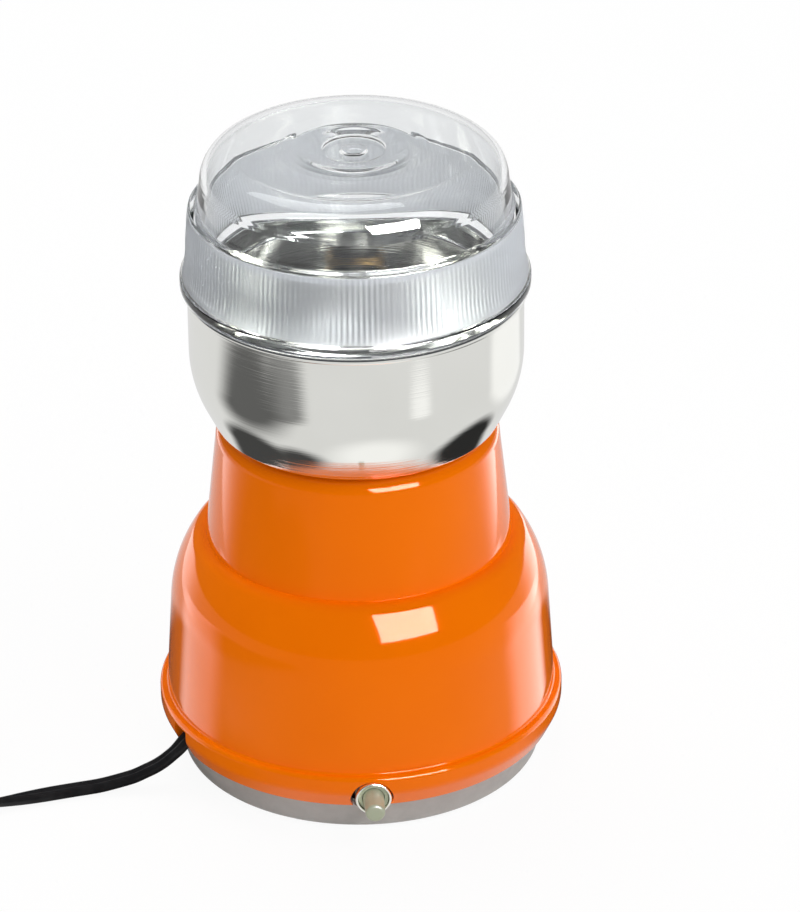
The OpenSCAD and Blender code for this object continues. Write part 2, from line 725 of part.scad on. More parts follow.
module base_cover() {
  color("darkgray") difference() {
    union() {
      base_shell();
      around(base_screw_angles, post_circle_r)
        translate([0, 0, base_z + base_floor / 2])
          cylinder(r = post_r, h = post_z - base_z - base_floor / 2);
      translate([-saddle_w / 2, -collar_back, floor_z - eps])
        cube([saddle_w, saddle_t, saddle_top - floor_z]);
      translate([clamp_at[0], clamp_at[1], floor_z - eps]) rotate(clamp_angle)
        for (s = [-1, 1])
          translate([0, s * clamp_pitch / 2, 0]) cylinder(r = clamp_post_r, h = clamp_low - floor_z);
      translate([clamp_at[0], clamp_at[1], floor_z - eps]) rotate(clamp_angle)
        translate([-clamp_rib - clamp_gap, -clamp_pitch / 2, 0])
          cube([clamp_rib, clamp_pitch, clamp_low - floor_z]);
    }
    around(base_screw_angles, post_circle_r) translate([0, 0, base_z - 1]) {
      cylinder(r = base_screw_r + screw_fit, h = post_z - base_z + 2);
      cylinder(r = base_screw_head_r + 3 * screw_fit, h = base_screw_seat - base_z + 1);
    }
    around(foot_angles, foot_circle_r)
      translate([0, 0, base_z - 1]) cylinder(r = foot_r + seat_fit, h = foot_pocket + 1);
    for (i = [0:vent_count - 1])
      rotate(360 * (i + 0.5) / vent_count)
        translate([vent_in_r, -vent_w / 2, base_z - 1])
          cube([vent_out_r - vent_in_r, vent_w, base_floor + 2]);
    translate([0, -saddle_back + 1, button_z]) towards_front()
      cylinder(r = barrel_r + screw_fit, h = saddle_t + 2);
    button_opening();
    cord_opening(base_in_low_r - 1, flange_z - cord_hole_sink, ledge_z + 1);
    translate([clamp_at[0], clamp_at[1], clamp_low - clamp_screw_bite]) rotate(clamp_angle)
      for (s = [-1, 1])
        translate([0, s * clamp_pitch / 2, 0])
          cylinder(r = clamp_screw_r + screw_fit, h = clamp_screw_bite + 1);
  }
}

module rubber_feet() {
  color("dimgray") around(foot_angles, foot_circle_r) cylinder(r = foot_r, h = foot_stand + foot_pocket);
}

module base_screws() {
  color("silver") around(base_screw_angles, post_circle_r)
    translate([0, 0, base_screw_seat - base_screw_head_h]) {
      cylinder(r = base_screw_head_r, h = base_screw_head_h);
      cylinder(r = base_screw_r, h = base_screw_head_h + post_z - base_screw_seat + base_screw_bite);
    }
}

// Bowl and what holds it down

module bowl() {
  color("lightgray") difference() {
    turned(concat(
      [[bush_r + screw_fit, bowl_z]], bowl_outer, bowl_rim, reversed(bowl_inner),
      [[bush_r + screw_fit, bowl_floor_z]]));
    around(bowl_screw_angles, bowl_screw_circle_r)
      translate([0, 0, bowl_z - 1]) cylinder(r = bowl_screw_r + screw_fit, h = bowl_t + 2);
  }
}

module bowl_gasket() {
  color("dimgray") translate([0, 0, deck_z]) difference() {
    ring(min(bowl_flat_r, neck_r - neck_round) - 1, bush_r + screw_fit, gasket_t);
    around(bowl_screw_angles, bowl_screw_circle_r)
      translate([0, 0, -1]) cylinder(r = bowl_screw_r + screw_fit, h = gasket_t + 2);
  }
}

module bowl_bush() {
  color("goldenrod") difference() {
    union() {
      translate([0, 0, deck_under]) cylinder(r = bush_r, h = bush_top - deck_under);
      translate([0, 0, bowl_floor_z]) cylinder(r = bush_flange_r, h = bush_flange_t);
    }
    translate([0, 0, deck_under - 1]) cylinder(r = shaft_r + shaft_run, h = bush_top - deck_under + 2);
  }
}

module bowl_screws() {
  color("silver") around(bowl_screw_angles, bowl_screw_circle_r) {
    translate([0, 0, bowl_floor_z]) cylinder(r = bowl_screw_head_r, h = bowl_screw_head_h);
    translate([0, 0, upper_plate_z]) cylinder(r = bowl_screw_r, h = bowl_floor_z - upper_plate_z + eps);
  }
}

// Lid

module lid() {
  lid_edge = 0.5;
  disc_z = lid_top - ring_h;
  well_z = disc_z - dish_depth - well_depth;
  dome_corner = arc(dome_r - dome_round, lid_top - dome_round, dome_round, 0, 90, 10);
  dome_corner_in = arc(dome_r - dome_round, lid_top - dome_round, dome_round - lid_wall, 0, 90, 10);
  color("gainsboro", 0.5) turned(concat(
    [[lid_in_r, lid_z - spigot_h], [spigot_r, lid_z - spigot_h], [spigot_r, lid_z],
     [lid_flange_r - lid_edge, lid_z], [lid_flange_r, lid_z + lid_edge],
     [lid_flange_r, skirt_z - lid_edge], [lid_flange_r - lid_edge, skirt_z]],
    bend([skirt_low_r, skirt_z], [skirt_mid_r, skirt_z + skirt_h / 4], [skirt_mid_r, skirt_z + skirt_h / 2]),
    [[skirt_top_r, skirt_top - lid_edge], [skirt_top_r - lid_edge, skirt_top], [dome_low_r, skirt_top]],
    dome_corner,
    [[ring_r, lid_top], [ring_r - ring_h, disc_z], [dish_r, disc_z], [well_r, disc_z - dish_depth],
     [well_r - well_depth, well_z], [nub_r, well_z], [nub_r - nub_h / 2, well_z + nub_h],
     [0, well_z + nub_h], [0, well_z - lid_wall], [well_r, well_z - lid_wall], [ring_r, lid_top - lid_wall]],
    reversed(dome_corner_in),
    [[dome_low_r - lid_wall, skirt_top - lid_wall], [lid_in_r, skirt_top - lid_wall - 1]]));
}

// Blade

module blade_arm() {
  translate([0, 0, blade_t / 2]) rotate([blade_tilt, 0, 0]) translate([0, 0, -blade_t / 2])
    linear_extrude(blade_t)
      polygon([[0, -blade_w / 2], [blade_r * 0.55, -blade_w / 2], [blade_r, blade_w / 2 - blade_tip_w],
               [blade_r - 2, blade_w / 2], [0, blade_w / 2 - 2]]);
}

module blade() {
  blade_bridge_l = 0.5;
  blade_bridge_cut = 2.6;
  color("silver") translate([0, 0, blade_z]) difference() {
    union() {
      cylinder(r = blade_w / 2, h = blade_t);
      for (a = [0, 180]) rotate(a) difference() {
        blade_arm();
        translate([-blade_w, -blade_w, -blade_w]) cube([blade_w + nut_r, 2 * blade_w, 2 * blade_w]);
      }
      for (a = [0, 180]) rotate(a) translate([0, -blade_w / 2 + 1, 0])
        cube([nut_r + blade_bridge_l, blade_w - blade_bridge_cut, blade_t]);
    }
    translate([0, 0, -1]) cylinder(r = shaft_r + seat_fit, h = blade_t + 2);
  }
}

module blade_hub() {
  color("gray") translate([0, 0, hub_z]) difference() {
    union() {
      cylinder(r = hub_r, h = hub_h / 2);
      cylinder(r = nut_r, h = hub_h);
    }
    translate([0, 0, -1]) cylinder(r = shaft_r + seat_fit, h = hub_h + 2);
  }
}

module blade_nut() {
  color("silver") translate([0, 0, nut_z]) difference() {
    union() {
      cylinder(r = nut_r, h = nut_h - nut_dome, $fn = 6);
      cylinder(r = nut_r * cos(30), h = nut_h);
    }
    translate([0, 0, -1]) cylinder(r = shaft_r + seat_fit, h = nut_h - nut_dome - nut_skin + 1 + eps);
  }
}

// Motor: turning pieces

module motor_shaft() {
  color("silver") translate([0, 0, shaft_z]) cylinder(r = shaft_r, h = shaft_top - shaft_z);
}

module armature_core() {
  slot_depth = armature_r * 0.3;
  slot_w = (armature_r - slot_depth) * sin(180 / armature_slots) * 0.68;
  slot_neck = slot_w * 0.6;
  color("slategray") translate([0, 0, stack_z]) linear_extrude(stack_h) difference() {
    circle(r = armature_r);
    circle(r = shaft_r + seat_fit);
    for (i = [0:armature_slots - 1]) rotate(360 * i / armature_slots) {
      translate([armature_r - slot_depth, 0]) circle(r = slot_w);
      translate([armature_r - slot_depth, -slot_neck / 2]) square([slot_depth + 1, slot_neck]);
    }
  }
}

module winding_ring() {
  round_in = winding_h * 0.3;
  turned(concat(
    [[shaft_r + seat_fit, 0], [winding_r - round_in, 0]],
    arc(winding_r - round_in, round_in, round_in, -90, 0, 4),
    arc(winding_r - round_in, winding_h - round_in, round_in, 0, 90, 4),
    [[shaft_r + seat_fit, winding_h]]));
}

module armature_windings() {
  color("peru") {
    translate([0, 0, stack_top + stack_space]) winding_ring();
    translate([0, 0, stack_z - stack_space - winding_h]) winding_ring();
  }
}

module commutator() {
  gap_w = 0.6;
  gap_depth = 1.2;
  color("chocolate") translate([0, 0, commutator_z]) linear_extrude(commutator_h) difference() {
    circle(r = commutator_r);
    circle(r = shaft_r + seat_fit);
    for (i = [0:commutator_bars - 1]) rotate(360 * i / commutator_bars)
      translate([commutator_r - gap_depth, -gap_w / 2]) square([gap_depth + 1, gap_w]);
  }
}

// Motor: fixed pieces

module stator_core() {
  color("slategray") translate([0, 0, stack_z]) linear_extrude(stack_h) difference() {
    intersection() {
      square([stator_x, stator_y], center = true);
      circle(r = stator_corner_r);
    }
    circle(r = stator_bore_r);
    for (s = [-1, 1]) translate([s * (pole_w + coil_slot_w) / 2, 0])
      square([coil_slot_w, coil_slot_l], center = true);
    for (p = motor_bolts_at) translate(p) circle(r = leg_hole_r);
  }
}

// A coil around one pole, drawn in the X-Z plane about the middle of the stack
module field_coil() {
  in_x = pole_w + 2 * coil_gap;
  in_z = stack_h + 2 * coil_gap;
  out_x = 2 * coil_side;
  out_z = stack_h + 2 * coil_rise;
  translate([0, 0, stack_z + stack_h / 2]) rotate([90, 0, 0])
    linear_extrude(coil_depth, center = true) difference() {
      square([out_x, out_z], center = true);
      square([in_x, in_z], center = true);
    }
}

module field_coils() {
  coil_y = coil_front - coil_depth / 2;
  color("peru") for (s = [-1, 1]) translate([0, s * coil_y, 0]) field_coil();
}

module upper_bracket() {
  color("lightsteelblue") difference() {
    union() {
      translate([0, 0, upper_plate_z]) cylinder(r = bracket_r, h = bracket_t);
      translate([0, 0, upper_bearing_z - boss_floor])
        cylinder(r = bearing_boss_r, h = deck_under - upper_bearing_z + boss_floor);
      for (p = motor_bolts_at) translate([p[0], p[1], stack_top]) cylinder(r = leg_r, h = upper_leg + eps);
    }
    translate([0, 0, upper_bearing_z]) cylinder(r = bearing_seat_r, h = bearing_l + 1);
    translate([0, 0, upper_bearing_z - boss_floor - 1]) cylinder(r = shaft_r + 1, h = boss_floor + 2);
    for (p = motor_bolts_at) translate([p[0], p[1], stack_top - 1])
      cylinder(r = leg_hole_r, h = upper_leg + bracket_t / 2 + 1);
    around(bowl_screw_angles, bowl_screw_circle_r)
      translate([0, 0, upper_plate_z - 1]) cylinder(r = bowl_screw_r + screw_fit, h = bracket_t + 2);
  }
}

module lower_bracket() {
  color("lightsteelblue") difference() {
    union() {
      translate([0, 0, lower_plate_z]) cylinder(r = bracket_r, h = bracket_t);
      translate([0, 0, lower_bearing_z - boss_floor])
        cylinder(r = bearing_boss_r, h = lower_plate_top - lower_bearing_z + boss_floor);
      for (p = motor_bolts_at) translate([p[0], p[1], lower_plate_top - eps])
        cylinder(r = leg_r, h = lower_leg + eps);
    }
    translate([0, 0, lower_bearing_z]) cylinder(r = bearing_seat_r, h = bearing_l + 1);
    for (p = motor_bolts_at) translate([p[0], p[1], lower_plate_z - 1])
      cylinder(r = leg_hole_r, h = bracket_t + lower_leg + 2);
  }
}

module upper_bearing() {
  color("goldenrod") translate([0, 0, upper_bearing_z]) ring(bearing_r, shaft_r + shaft_run, bearing_l);
}

module lower_bearing() {
  color("goldenrod") translate([0, 0, lower_bearing_z]) ring(bearing_r, shaft_r + shaft_run, bearing_l);
}

module motor_bolts() {
  color("silver") for (p = motor_bolts_at) translate(p) {
    translate([0, 0, lower_plate_z - bolt_head_h]) cylinder(r = bolt_head_r, h = bolt_head_h);
    translate([0, 0, lower_plate_z - eps]) cylinder(r = bolt_r, h = upper_plate_z - lower_plate_z + eps);
  }
}

// Brush gear. Each piece is drawn on the back side, along +Y, and mirrored for the front.

module back_holder() {
  out_w = holder_in_w + 2 * holder_wall;
  out_h = holder_in_h + 2 * holder_wall;
  difference() {
    union() {
      translate([-out_w / 2, holder_front, brush_z - out_h / 2])
        cube([out_w, holder_end + holder_wall - holder_front, out_h]);
      translate([-out_w / 2, holder_front, lower_plate_top])
        cube([out_w, holder_end + holder_wall - holder_front, brush_z - lower_plate_top]);
    }
    translate([-holder_in_w / 2, holder_front - 1, brush_z - holder_in_h / 2])
      cube([holder_in_w, holder_end - holder_front + 1, holder_in_h]);
  }
}

module back_brush() {
  translate([-brush_w / 2, brush_front, brush_z - brush_h / 2]) cube([brush_w, brush_l, brush_h]);
}

module back_spring() {
  wire = 0.6;
  translate([0, brush_rear, brush_z]) rotate([-90, 0, 0])
    spring(brush_w / 2 - wire, wire, holder_end - brush_rear, 5);
}

module brush_holders() {
  color("saddlebrown") {
    back_holder();
    mirror([0, 1, 0]) back_holder();
  }
}

module carbon_brush_back() {
  color("black") back_brush();
}

module carbon_brush_front() {
  color("black") mirror([0, 1, 0]) back_brush();
}

module brush_spring_back() {
  color("silver") back_spring();
}

module brush_spring_front() {
  color("silver") rotate(180) back_spring();
}

// Button and switch

module switch_body() {
  color("black") difference() {
    union() {
      translate([-switch_w / 2, -saddle_back, button_z - switch_w / 2])
        cube([switch_w, saddle_back - switch_rear, switch_w]);
      translate([0, -saddle_back + eps, button_z]) towards_front()
        cylinder(r = barrel_r, h = barrel_front - saddle_back + eps);
    }
    translate([0, -chamber_back, button_z]) towards_front() {
      cylinder(r = chamber_r, h = chamber_front - chamber_back);
      cylinder(r = barrel_bore_r, h = barrel_front - chamber_back + 1);
    }
  }
}

module button_collar() {
  color("lightgray") translate([0, -collar_back, button_z]) towards_front()
    ring(collar_r, barrel_r + screw_fit, collar_l);
}

module button_cap() {
  color("darkseagreen") translate([0, 0, button_z]) towards_front() turned(concat(
    [[0, head_back], [head_r, head_back], [head_r, head_front], [cap_r, head_front], [cap_r, collar_face]],
    arc(cap_tip_r - cap_round, cap_tip - cap_round, cap_round, 0, 90, 5),
    [[0, cap_tip]]));
}

module button_spring() {
  wire = 0.4;
  color("silver") translate([0, -chamber_back, button_z]) towards_front()
    spring(head_r - 2 * wire, wire, head_back - chamber_back, 4);
}

// Lead

module cord_clamp() {
  color("dimgray") translate([clamp_at[0], clamp_at[1], clamp_high]) rotate(clamp_angle) difference() {
    union() {
      translate([-clamp_l / 2, -clamp_w / 2, 0]) cube([clamp_l, clamp_w, clamp_t]);
      for (s = [-1, 1]) translate([0, s * clamp_pitch / 2, clamp_low - clamp_high])
        cylinder(r = clamp_post_r, h = clamp_high - clamp_low + eps);
    }
    for (s = [-1, 1]) translate([0, s * clamp_pitch / 2, clamp_low - clamp_high - 1])
      cylinder(r = clamp_screw_r + screw_fit, h = clamp_high - clamp_low + clamp_t + 2);
  }
}

module clamp_screws() {
  color("silver") translate([clamp_at[0], clamp_at[1], clamp_high + clamp_t]) rotate(clamp_angle)
    for (s = [-1, 1]) translate([0, s * clamp_pitch / 2, 0]) {
      cylinder(r = clamp_screw_head_r, h = clamp_screw_head_h);
      translate([0, 0, clamp_low - clamp_high - clamp_t - clamp_screw_bite + 1])
        cylinder(r = clamp_screw_r, h = clamp_high - clamp_low + clamp_t + clamp_screw_bite - 1 + eps);
    }
}

// Two cores from the end of the lead: one to the switch, one up to the stator's coil
wire_d = 1.6;
wire_gap = 0.4;
core_gap = 0.5;
core_offset = 1.1;
core_straight = 4;
wire_bow = 6;
wire_lead = 4;
wire_end = 3;
core_way = unit(cord_route[0] - cord_route[1]);
core_side = [-core_way[1], core_way[0], 0];
core_end = cord_route[0] + core_gap * core_way;
function mixed(a, b, t) = a + t * (b - a);
function polar(r, angle, z) = [r * cos(angle), r * sin(angle), z];

switch_core = core_end - core_offset * core_side;
switch_turn = switch_core + core_straight * core_way;
switch_side = -switch_w / 2 - wire_d / 2 - wire_gap;
switch_near = [switch_side - wire_bow, -switch_rear + wire_lead, button_z];
wire_to_switch = [
  switch_core, switch_turn, mixed(switch_turn, switch_near, 0.33), mixed(switch_turn, switch_near, 0.67),
  switch_near, [switch_side, -switch_rear - wire_end, button_z]
];

coil_core = core_end + core_offset * core_side;
wire_r = bracket_r + 2.5;
coil_low = stack_z - coil_rise;
wire_to_coil = [
  coil_core, coil_core + core_straight * core_way + [0, 0, wire_gap],
  polar(bracket_r - 1, 190, lower_plate_z - 12), polar(wire_r, 175, lower_plate_z - 6),
  polar(wire_r, 166, lower_plate_top - 1),
  polar(wire_r, 156, lower_plate_top + 9), polar(wire_r, 146, coil_low + 1),
  [-coil_side - 0.7, coil_front - coil_depth / 2, coil_low + 1.5]
];

module lead_wires() {
  color("firebrick") {
    tube(directed(wire_to_switch, 0), wire_d, wire_d, 8);
    tube(directed(wire_to_coil, 0), wire_d, wire_d, 8);
  }
}

cord_path = [for (i = [0:len(cord_route) - 1])
  let (d = directed(cord_route, 0)[i])
  [d[0], d[1], 90 * smooth((i - cord_flat_until) / cord_edge_over)]];

module cord() {
  color("black") tube(cord_path, cord_w, cord_t, 8);
}

// A point of the coil after s turns, clockwise from the side nearest the front
function coil_radius(s) = coil_inner_r + coil_step * abs(s - coil_half);
function coil_height(s) = coil_z + coil_layer * smooth((s - coil_half) / coil_climb + 0.5);
function coil_point(s) =
  let (r = coil_radius(s))
  [coil_centre[0] - r * sin(360 * s), coil_centre[1] - r * cos(360 * s), coil_height(s)];
coil_end = coil_point(coil_turns);
coil_loops = [for (i = [0:coil_rings]) coil_point(coil_turns * i / coil_rings)];
lead_out_steps = [3, 8, 11, 14, 17, 20, lead_out - cord_w / 2, lead_out];
coil_lead_out = [for (s = lead_out_steps)
  let (drop = (plug_z - coil_end[2]) * smooth((s - lead_drop_from) / lead_drop_over))
  coil_end + s * coil_end_dir + [0, 0, drop]];
coil_points = concat([[coil_start[0], coil_start[1], coil_z]], coil_loops, coil_lead_out);
coil_path = [for (i = [0:len(coil_points) - 1])
  let (d = directed(coil_points, 90)[i])
  [d[0], i == 0 ? [-1, 0, 0] : i == len(coil_points) - 1 ? coil_end_dir : d[1], 90]];

module cord_coil() {
  color("black") tube(coil_path, cord_w, cord_t, 6);
}

// Length of the lead outside the flange, and the coil's least gap to itself
function length_of(pts, i = 1) = i < len(pts) ? norm(pts[i] - pts[i - 1]) + length_of(pts, i + 1) : 0;
outside_route = [for (p = cord_route) if (norm([p[0], p[1]]) > flange_in_r) p];
echo(cord_length = length_of(outside_route) + length_of(coil_points));
coil_rings_points = [for (q = coil_path) section(q[0], q[1], q[2], cord_w, cord_t, 6)];
gap_reach = loop_rings / 2;
echo(coil_gap_to_itself = min([for (i = [0:len(coil_path) - 1], j = [i + gap_reach:1:len(coil_path) - 1])
  if (norm(coil_path[i][0] - coil_path[j][0]) < 3 * cord_w)
    min([for (a = coil_rings_points[i], b = coil_rings_points[j]) norm(a - b)])]));

// Tie around the coil's bundle, on the side away from the object
module coil_tie() {
  bundle_in = coil_inner_r - cord_t / 2 - 2 * tie_gap;
  bundle_out = coil_r + cord_t / 2 + 2 * tie_gap;
  bundle_low = tie_gap + tie_t;
  bundle_high = coil_z + coil_layer + cord_w / 2 + tie_gap;
  color("dimgray") translate([coil_centre[0], coil_centre[1], 0]) rotate(180) difference() {
    translate([bundle_in - tie_t, -tie_w / 2, tie_gap])
      cube([bundle_out - bundle_in + 2 * tie_t, tie_w, bundle_high - bundle_low + 2 * tie_t]);
    translate([bundle_in, -tie_w, bundle_low])
      cube([bundle_out - bundle_in, 2 * tie_w, bundle_high - bundle_low]);
  }
}

// Draws its children along +X from the end of the lead, at the plug's height
module at_plug() {
  end = coil_points[len(coil_points) - 1];
  translate([end[0], end[1], plug_z]) rotate(atan2(coil_end_dir[1], coil_end_dir[0])) children();
}

module plug_body() {
  color("black") at_plug() difference() {
    union() {
      rotate([0, 90, 0]) cylinder(r1 = boot_r, r2 = boot_base_r, h = boot_l + 1);
      translate([boot_l, 0, -plug_t / 2]) linear_extrude(plug_t) polygon([
        [0, -plug_back_w / 2], [plug_l - plug_front_l, -plug_w / 2], [plug_l, -plug_w / 2],
        [plug_l, plug_w / 2], [plug_l - plug_front_l, plug_w / 2], [0, plug_back_w / 2]]);
    }
    for (s = [-1, 1]) translate([boot_l + plug_l - pin_root, s * pin_pitch / 2, 0]) rotate([0, 90, 0])
      cylinder(r = pin_r + seat_fit, h = pin_root + 1);
  }
}

module plug_pins() {
  color("silver") at_plug()
    for (s = [-1, 1]) translate([boot_l + plug_l - pin_root, s * pin_pitch / 2, 0]) rotate([0, 90, 0])
      cylinder(r = pin_r, h = pin_root + pin_l);
}

housing();
base_cover();
rubber_feet();
base_screws();
bowl();
bowl_gasket();
bowl_bush();
bowl_screws();
lid();
blade();
blade_hub();
blade_nut();
motor_shaft();
armature_core();
armature_windings();
commutator();
stator_core();
field_coils();
upper_bracket();
lower_bracket();
upper_bearing();
lower_bearing();
motor_bolts();
brush_holders();
carbon_brush_front();
carbon_brush_back();
brush_spring_front();
brush_spring_back();
switch_body();
button_collar();
button_cap();
button_spring();
cord_clamp();
clamp_screws();
lead_wires();
cord();
cord_coil();
coil_tie();
plug_body();
plug_pins();
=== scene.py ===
# %% [markdown]
# # A small electric chopper
# The object is a bell-shaped orange motor housing on a grey base, with a steel bowl fixed on its neck,
# a clear ribbed lid, a push button in the base seam and a flat mains lead. The construction comes in as
# a finished frame of solids. This lesson dresses it: smooth turned shells take the place of the solids
# that show, and every piece gets a finish that is worked out by nodes.

# %% Load the frame
import json
import math

import bmesh
import bpy
from mathutils import Matrix, Vector


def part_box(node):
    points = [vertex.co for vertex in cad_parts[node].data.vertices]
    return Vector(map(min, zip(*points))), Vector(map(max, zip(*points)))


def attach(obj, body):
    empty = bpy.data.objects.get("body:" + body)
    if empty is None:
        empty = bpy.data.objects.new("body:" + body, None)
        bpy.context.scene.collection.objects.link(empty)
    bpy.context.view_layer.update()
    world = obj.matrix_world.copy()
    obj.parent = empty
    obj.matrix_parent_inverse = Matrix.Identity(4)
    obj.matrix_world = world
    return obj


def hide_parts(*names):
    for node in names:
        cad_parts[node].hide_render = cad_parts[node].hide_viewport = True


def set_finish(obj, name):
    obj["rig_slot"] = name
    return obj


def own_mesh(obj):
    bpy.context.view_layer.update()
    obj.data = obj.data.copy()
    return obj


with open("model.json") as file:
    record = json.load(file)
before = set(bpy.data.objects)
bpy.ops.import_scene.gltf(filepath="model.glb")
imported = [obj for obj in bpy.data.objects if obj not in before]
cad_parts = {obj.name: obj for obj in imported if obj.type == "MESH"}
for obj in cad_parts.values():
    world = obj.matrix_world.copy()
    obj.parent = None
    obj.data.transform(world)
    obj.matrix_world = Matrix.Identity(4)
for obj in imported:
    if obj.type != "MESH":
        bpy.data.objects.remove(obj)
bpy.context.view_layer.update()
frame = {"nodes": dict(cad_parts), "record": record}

# %% [markdown]
# ## The camera
# The picture was taken from a little above, with a long lens, so the round edges show as flat ellipses
# and upright lines stay upright. The camera's place and its three directions were worked out from those
# ellipses. A matrix whose columns are right, up and backwards sets all of it at once, which is safer
# than three angles.

# %% Camera
CAMERA_PLACE = Vector((-0.05792, -1.06943, 0.65713))
CAMERA_RIGHT = Vector((0.99763, -0.06839, -0.00799))
CAMERA_UP = Vector((0.03934, 0.47091, 0.88130))
LENS = 187.06

camera_back = CAMERA_RIGHT.cross(CAMERA_UP).normalized()
camera_turn = Matrix((CAMERA_RIGHT, CAMERA_UP, camera_back)).transposed()
camera_data = bpy.data.cameras.new("camera")
camera_data.lens = LENS
camera = bpy.data.objects.new("camera", camera_data)
camera.matrix_world = Matrix.Translation(CAMERA_PLACE) @ camera_turn.to_4x4()
bpy.context.scene.collection.objects.link(camera)
bpy.context.scene.camera = camera
print("camera is", round(CAMERA_PLACE.length, 3), "m from the origin")

# %% [markdown]
# ## Helpers for shapes
# Nearly every shell here is turned: an outline of radius and height spun about an axis. So the first
# helpers are an arc of outline points, a closed ring of edges and the spin itself. Smooth shading blends
# the directions of neighbouring faces, so a long straight stretch next to a tight curve would shine as
# if it were bent. Two extra points close to its ends keep that blend short. Sizes are written in
# millimetres and become metres in the mesh.

# %% Outlines and the spin
MM = 0.001
LONG_STRETCH = 2.0
HOLD = 0.25


def arc(centre, radius, start, end, steps):
    """Points of an arc in the plane of an outline, angles in degrees."""
    turns = [math.radians(start + (end - start) * i / steps) for i in range(steps + 1)]
    return [(centre[0] + radius * math.cos(t), centre[1] + radius * math.sin(t)) for t in turns]


def held(outline):
    """Adds two points near the ends of each long straight stretch of a closed outline."""
    points = []
    for a, b in zip(outline, outline[1:] + outline[:1]):
        points.append(a)
        length = math.dist(a, b)
        if length > LONG_STRETCH:
            for t in (HOLD / length, 1 - HOLD / length):
                points.append((a[0] + t * (b[0] - a[0]), a[1] + t * (b[1] - a[1])))
    return points


def closed_ring(shell, places):
    """Vertices at places in metres, joined by edges into a ring."""
    verts = [shell.verts.new(place) for place in places]
    edges = [shell.edges.new(pair) for pair in zip(verts, verts[1:] + verts[:1])]
    return verts, edges


def turned(outline, steps=192):
    """Spins a closed outline of (radius, height) in millimetres about the upright axis."""
    shell = bmesh.new()
    verts, edges = closed_ring(shell, [(r * MM, 0, z * MM) for r, z in held(outline)])
    bmesh.ops.spin(shell, geom=verts + edges, cent=(0, 0, 0), axis=(0, 0, 1),
                   angle=2 * math.pi, steps=steps, use_merge=True, use_duplicate=False)
    return shell


def verts_among(geometry):
    """The vertices among what an operator made."""
    return [item for item in geometry if isinstance(item, bmesh.types.BMVert)]


print("turned shapes ready")

# %% [markdown]
# A bmesh becomes a piece in steps that are always the same: doubles merged, faces turned outwards, smooth
# shading with sharp edges kept by angle, and the piece set to ride on its body. A piece that takes the
# place of a solid names it. Fixed sizes of the construction are read from the boxes of its solids, so
# that a piece can't drift away from what carries it.

# %% From bmesh to piece
MERGE_DISTANCE = 1e-7
SHARP_ANGLE = 38


def tidy(shell):
    """Merges what coincides, drops what has no area and turns the faces outwards."""
    bmesh.ops.remove_doubles(shell, verts=shell.verts, dist=MERGE_DISTANCE)
    bmesh.ops.dissolve_degenerate(shell, edges=shell.edges, dist=MERGE_DISTANCE)
    bmesh.ops.recalc_face_normals(shell, faces=shell.faces)


def mesh_object(shell, name):
    """A new object with the tidied mesh of a bmesh."""
    tidy(shell)
    mesh = bpy.data.meshes.new(name)
    shell.to_mesh(mesh)
    shell.free()
    obj = bpy.data.objects.new(name, mesh)
    bpy.context.scene.collection.objects.link(obj)
    return obj


def shade(obj, sharp_angle):
    """Smooth shading, with edges kept sharp past an angle in degrees."""
    for face in obj.data.polygons:
        face.use_smooth = True
    obj.data.set_sharp_from_angle(angle=math.radians(sharp_angle))


def piece(shell, name, body, slot, nodes=(), sharp_angle=SHARP_ANGLE):
    """Makes a bmesh an object of the part that rides on a body and may stand for solids."""
    obj = mesh_object(shell, name)
    shade(obj, sharp_angle)
    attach(obj, body)
    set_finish(obj, slot)
    if nodes:
        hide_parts(*nodes)
    return obj


def low_mm(node):
    """Lowest corner of a solid's box, in millimetres."""
    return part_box(node)[0] / MM


def high_mm(node):
    """Highest corner of a solid's box, in millimetres."""
    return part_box(node)[1] / MM


print("helpers for pieces ready")

# %% [markdown]
# ## The lead's route
# The lead is a flat two-core flex. It leaves the flange through a small opening, drops to the table and
# runs out of the picture on the left. The length that the picture doesn't show is wound up as for
# storage, just outside the view. A flat lead has a direction as well as a place, so the route also says
# how far the section is rolled: it lies flat at first and turns on edge before the coil, as a flat flex
# does when it is wound up.

# %% Route of the lead
CORD_WIDTH = 4.8
CORD_THICKNESS = 2.6
COIL_HEIGHT = 3.2
EXIT_RADIUS = 52.7
EXIT_TURN = 66.3
FLAT_UNTIL = 15
EDGE_OVER = 5
ON_EDGE = 90
STRETCH_STEPS = 3
# Each point: distances from the opening in the flange, and the height above the table
LEAD_POINTS = [
    (14.65, 6.43, 15), (11.45, 5.02, 15), (8.24, 3.62, 15), (4.58, 2.01, 14.6), (1.83, 0.8, 13),
    (-0.7, -0.07, 10.5), (-2.78, -0.29, 8.6), (-4.87, -0.51, 7), (-7.06, -0.74, 5.75),
    (-9.15, -0.96, 4.85), (-11.24, -1.18, 3.95), (-13.33, -1.4, 3.3), (-17.5, -1.84, 2.4),
    (-21.68, -2.28, 1.7), (-27.7, -3.3, 1.5), (-33.7, -4.7, 1.5), (-39.7, -6.2, 1.5),
    (-46.7, -7.8, 1.5), (-52.7, -9.1, 1.8), (-59.7, -10.2, 2.5), (-65.7, -10.9, 3.1),
    (-70.7, -11.2, COIL_HEIGHT), (-76.7, -11.2, COIL_HEIGHT)]


def ease(t):
    """Goes from 0 to 1 with a gentle start and end."""
    t = min(1.0, max(0.0, t))
    return t * t * (3 - 2 * t)


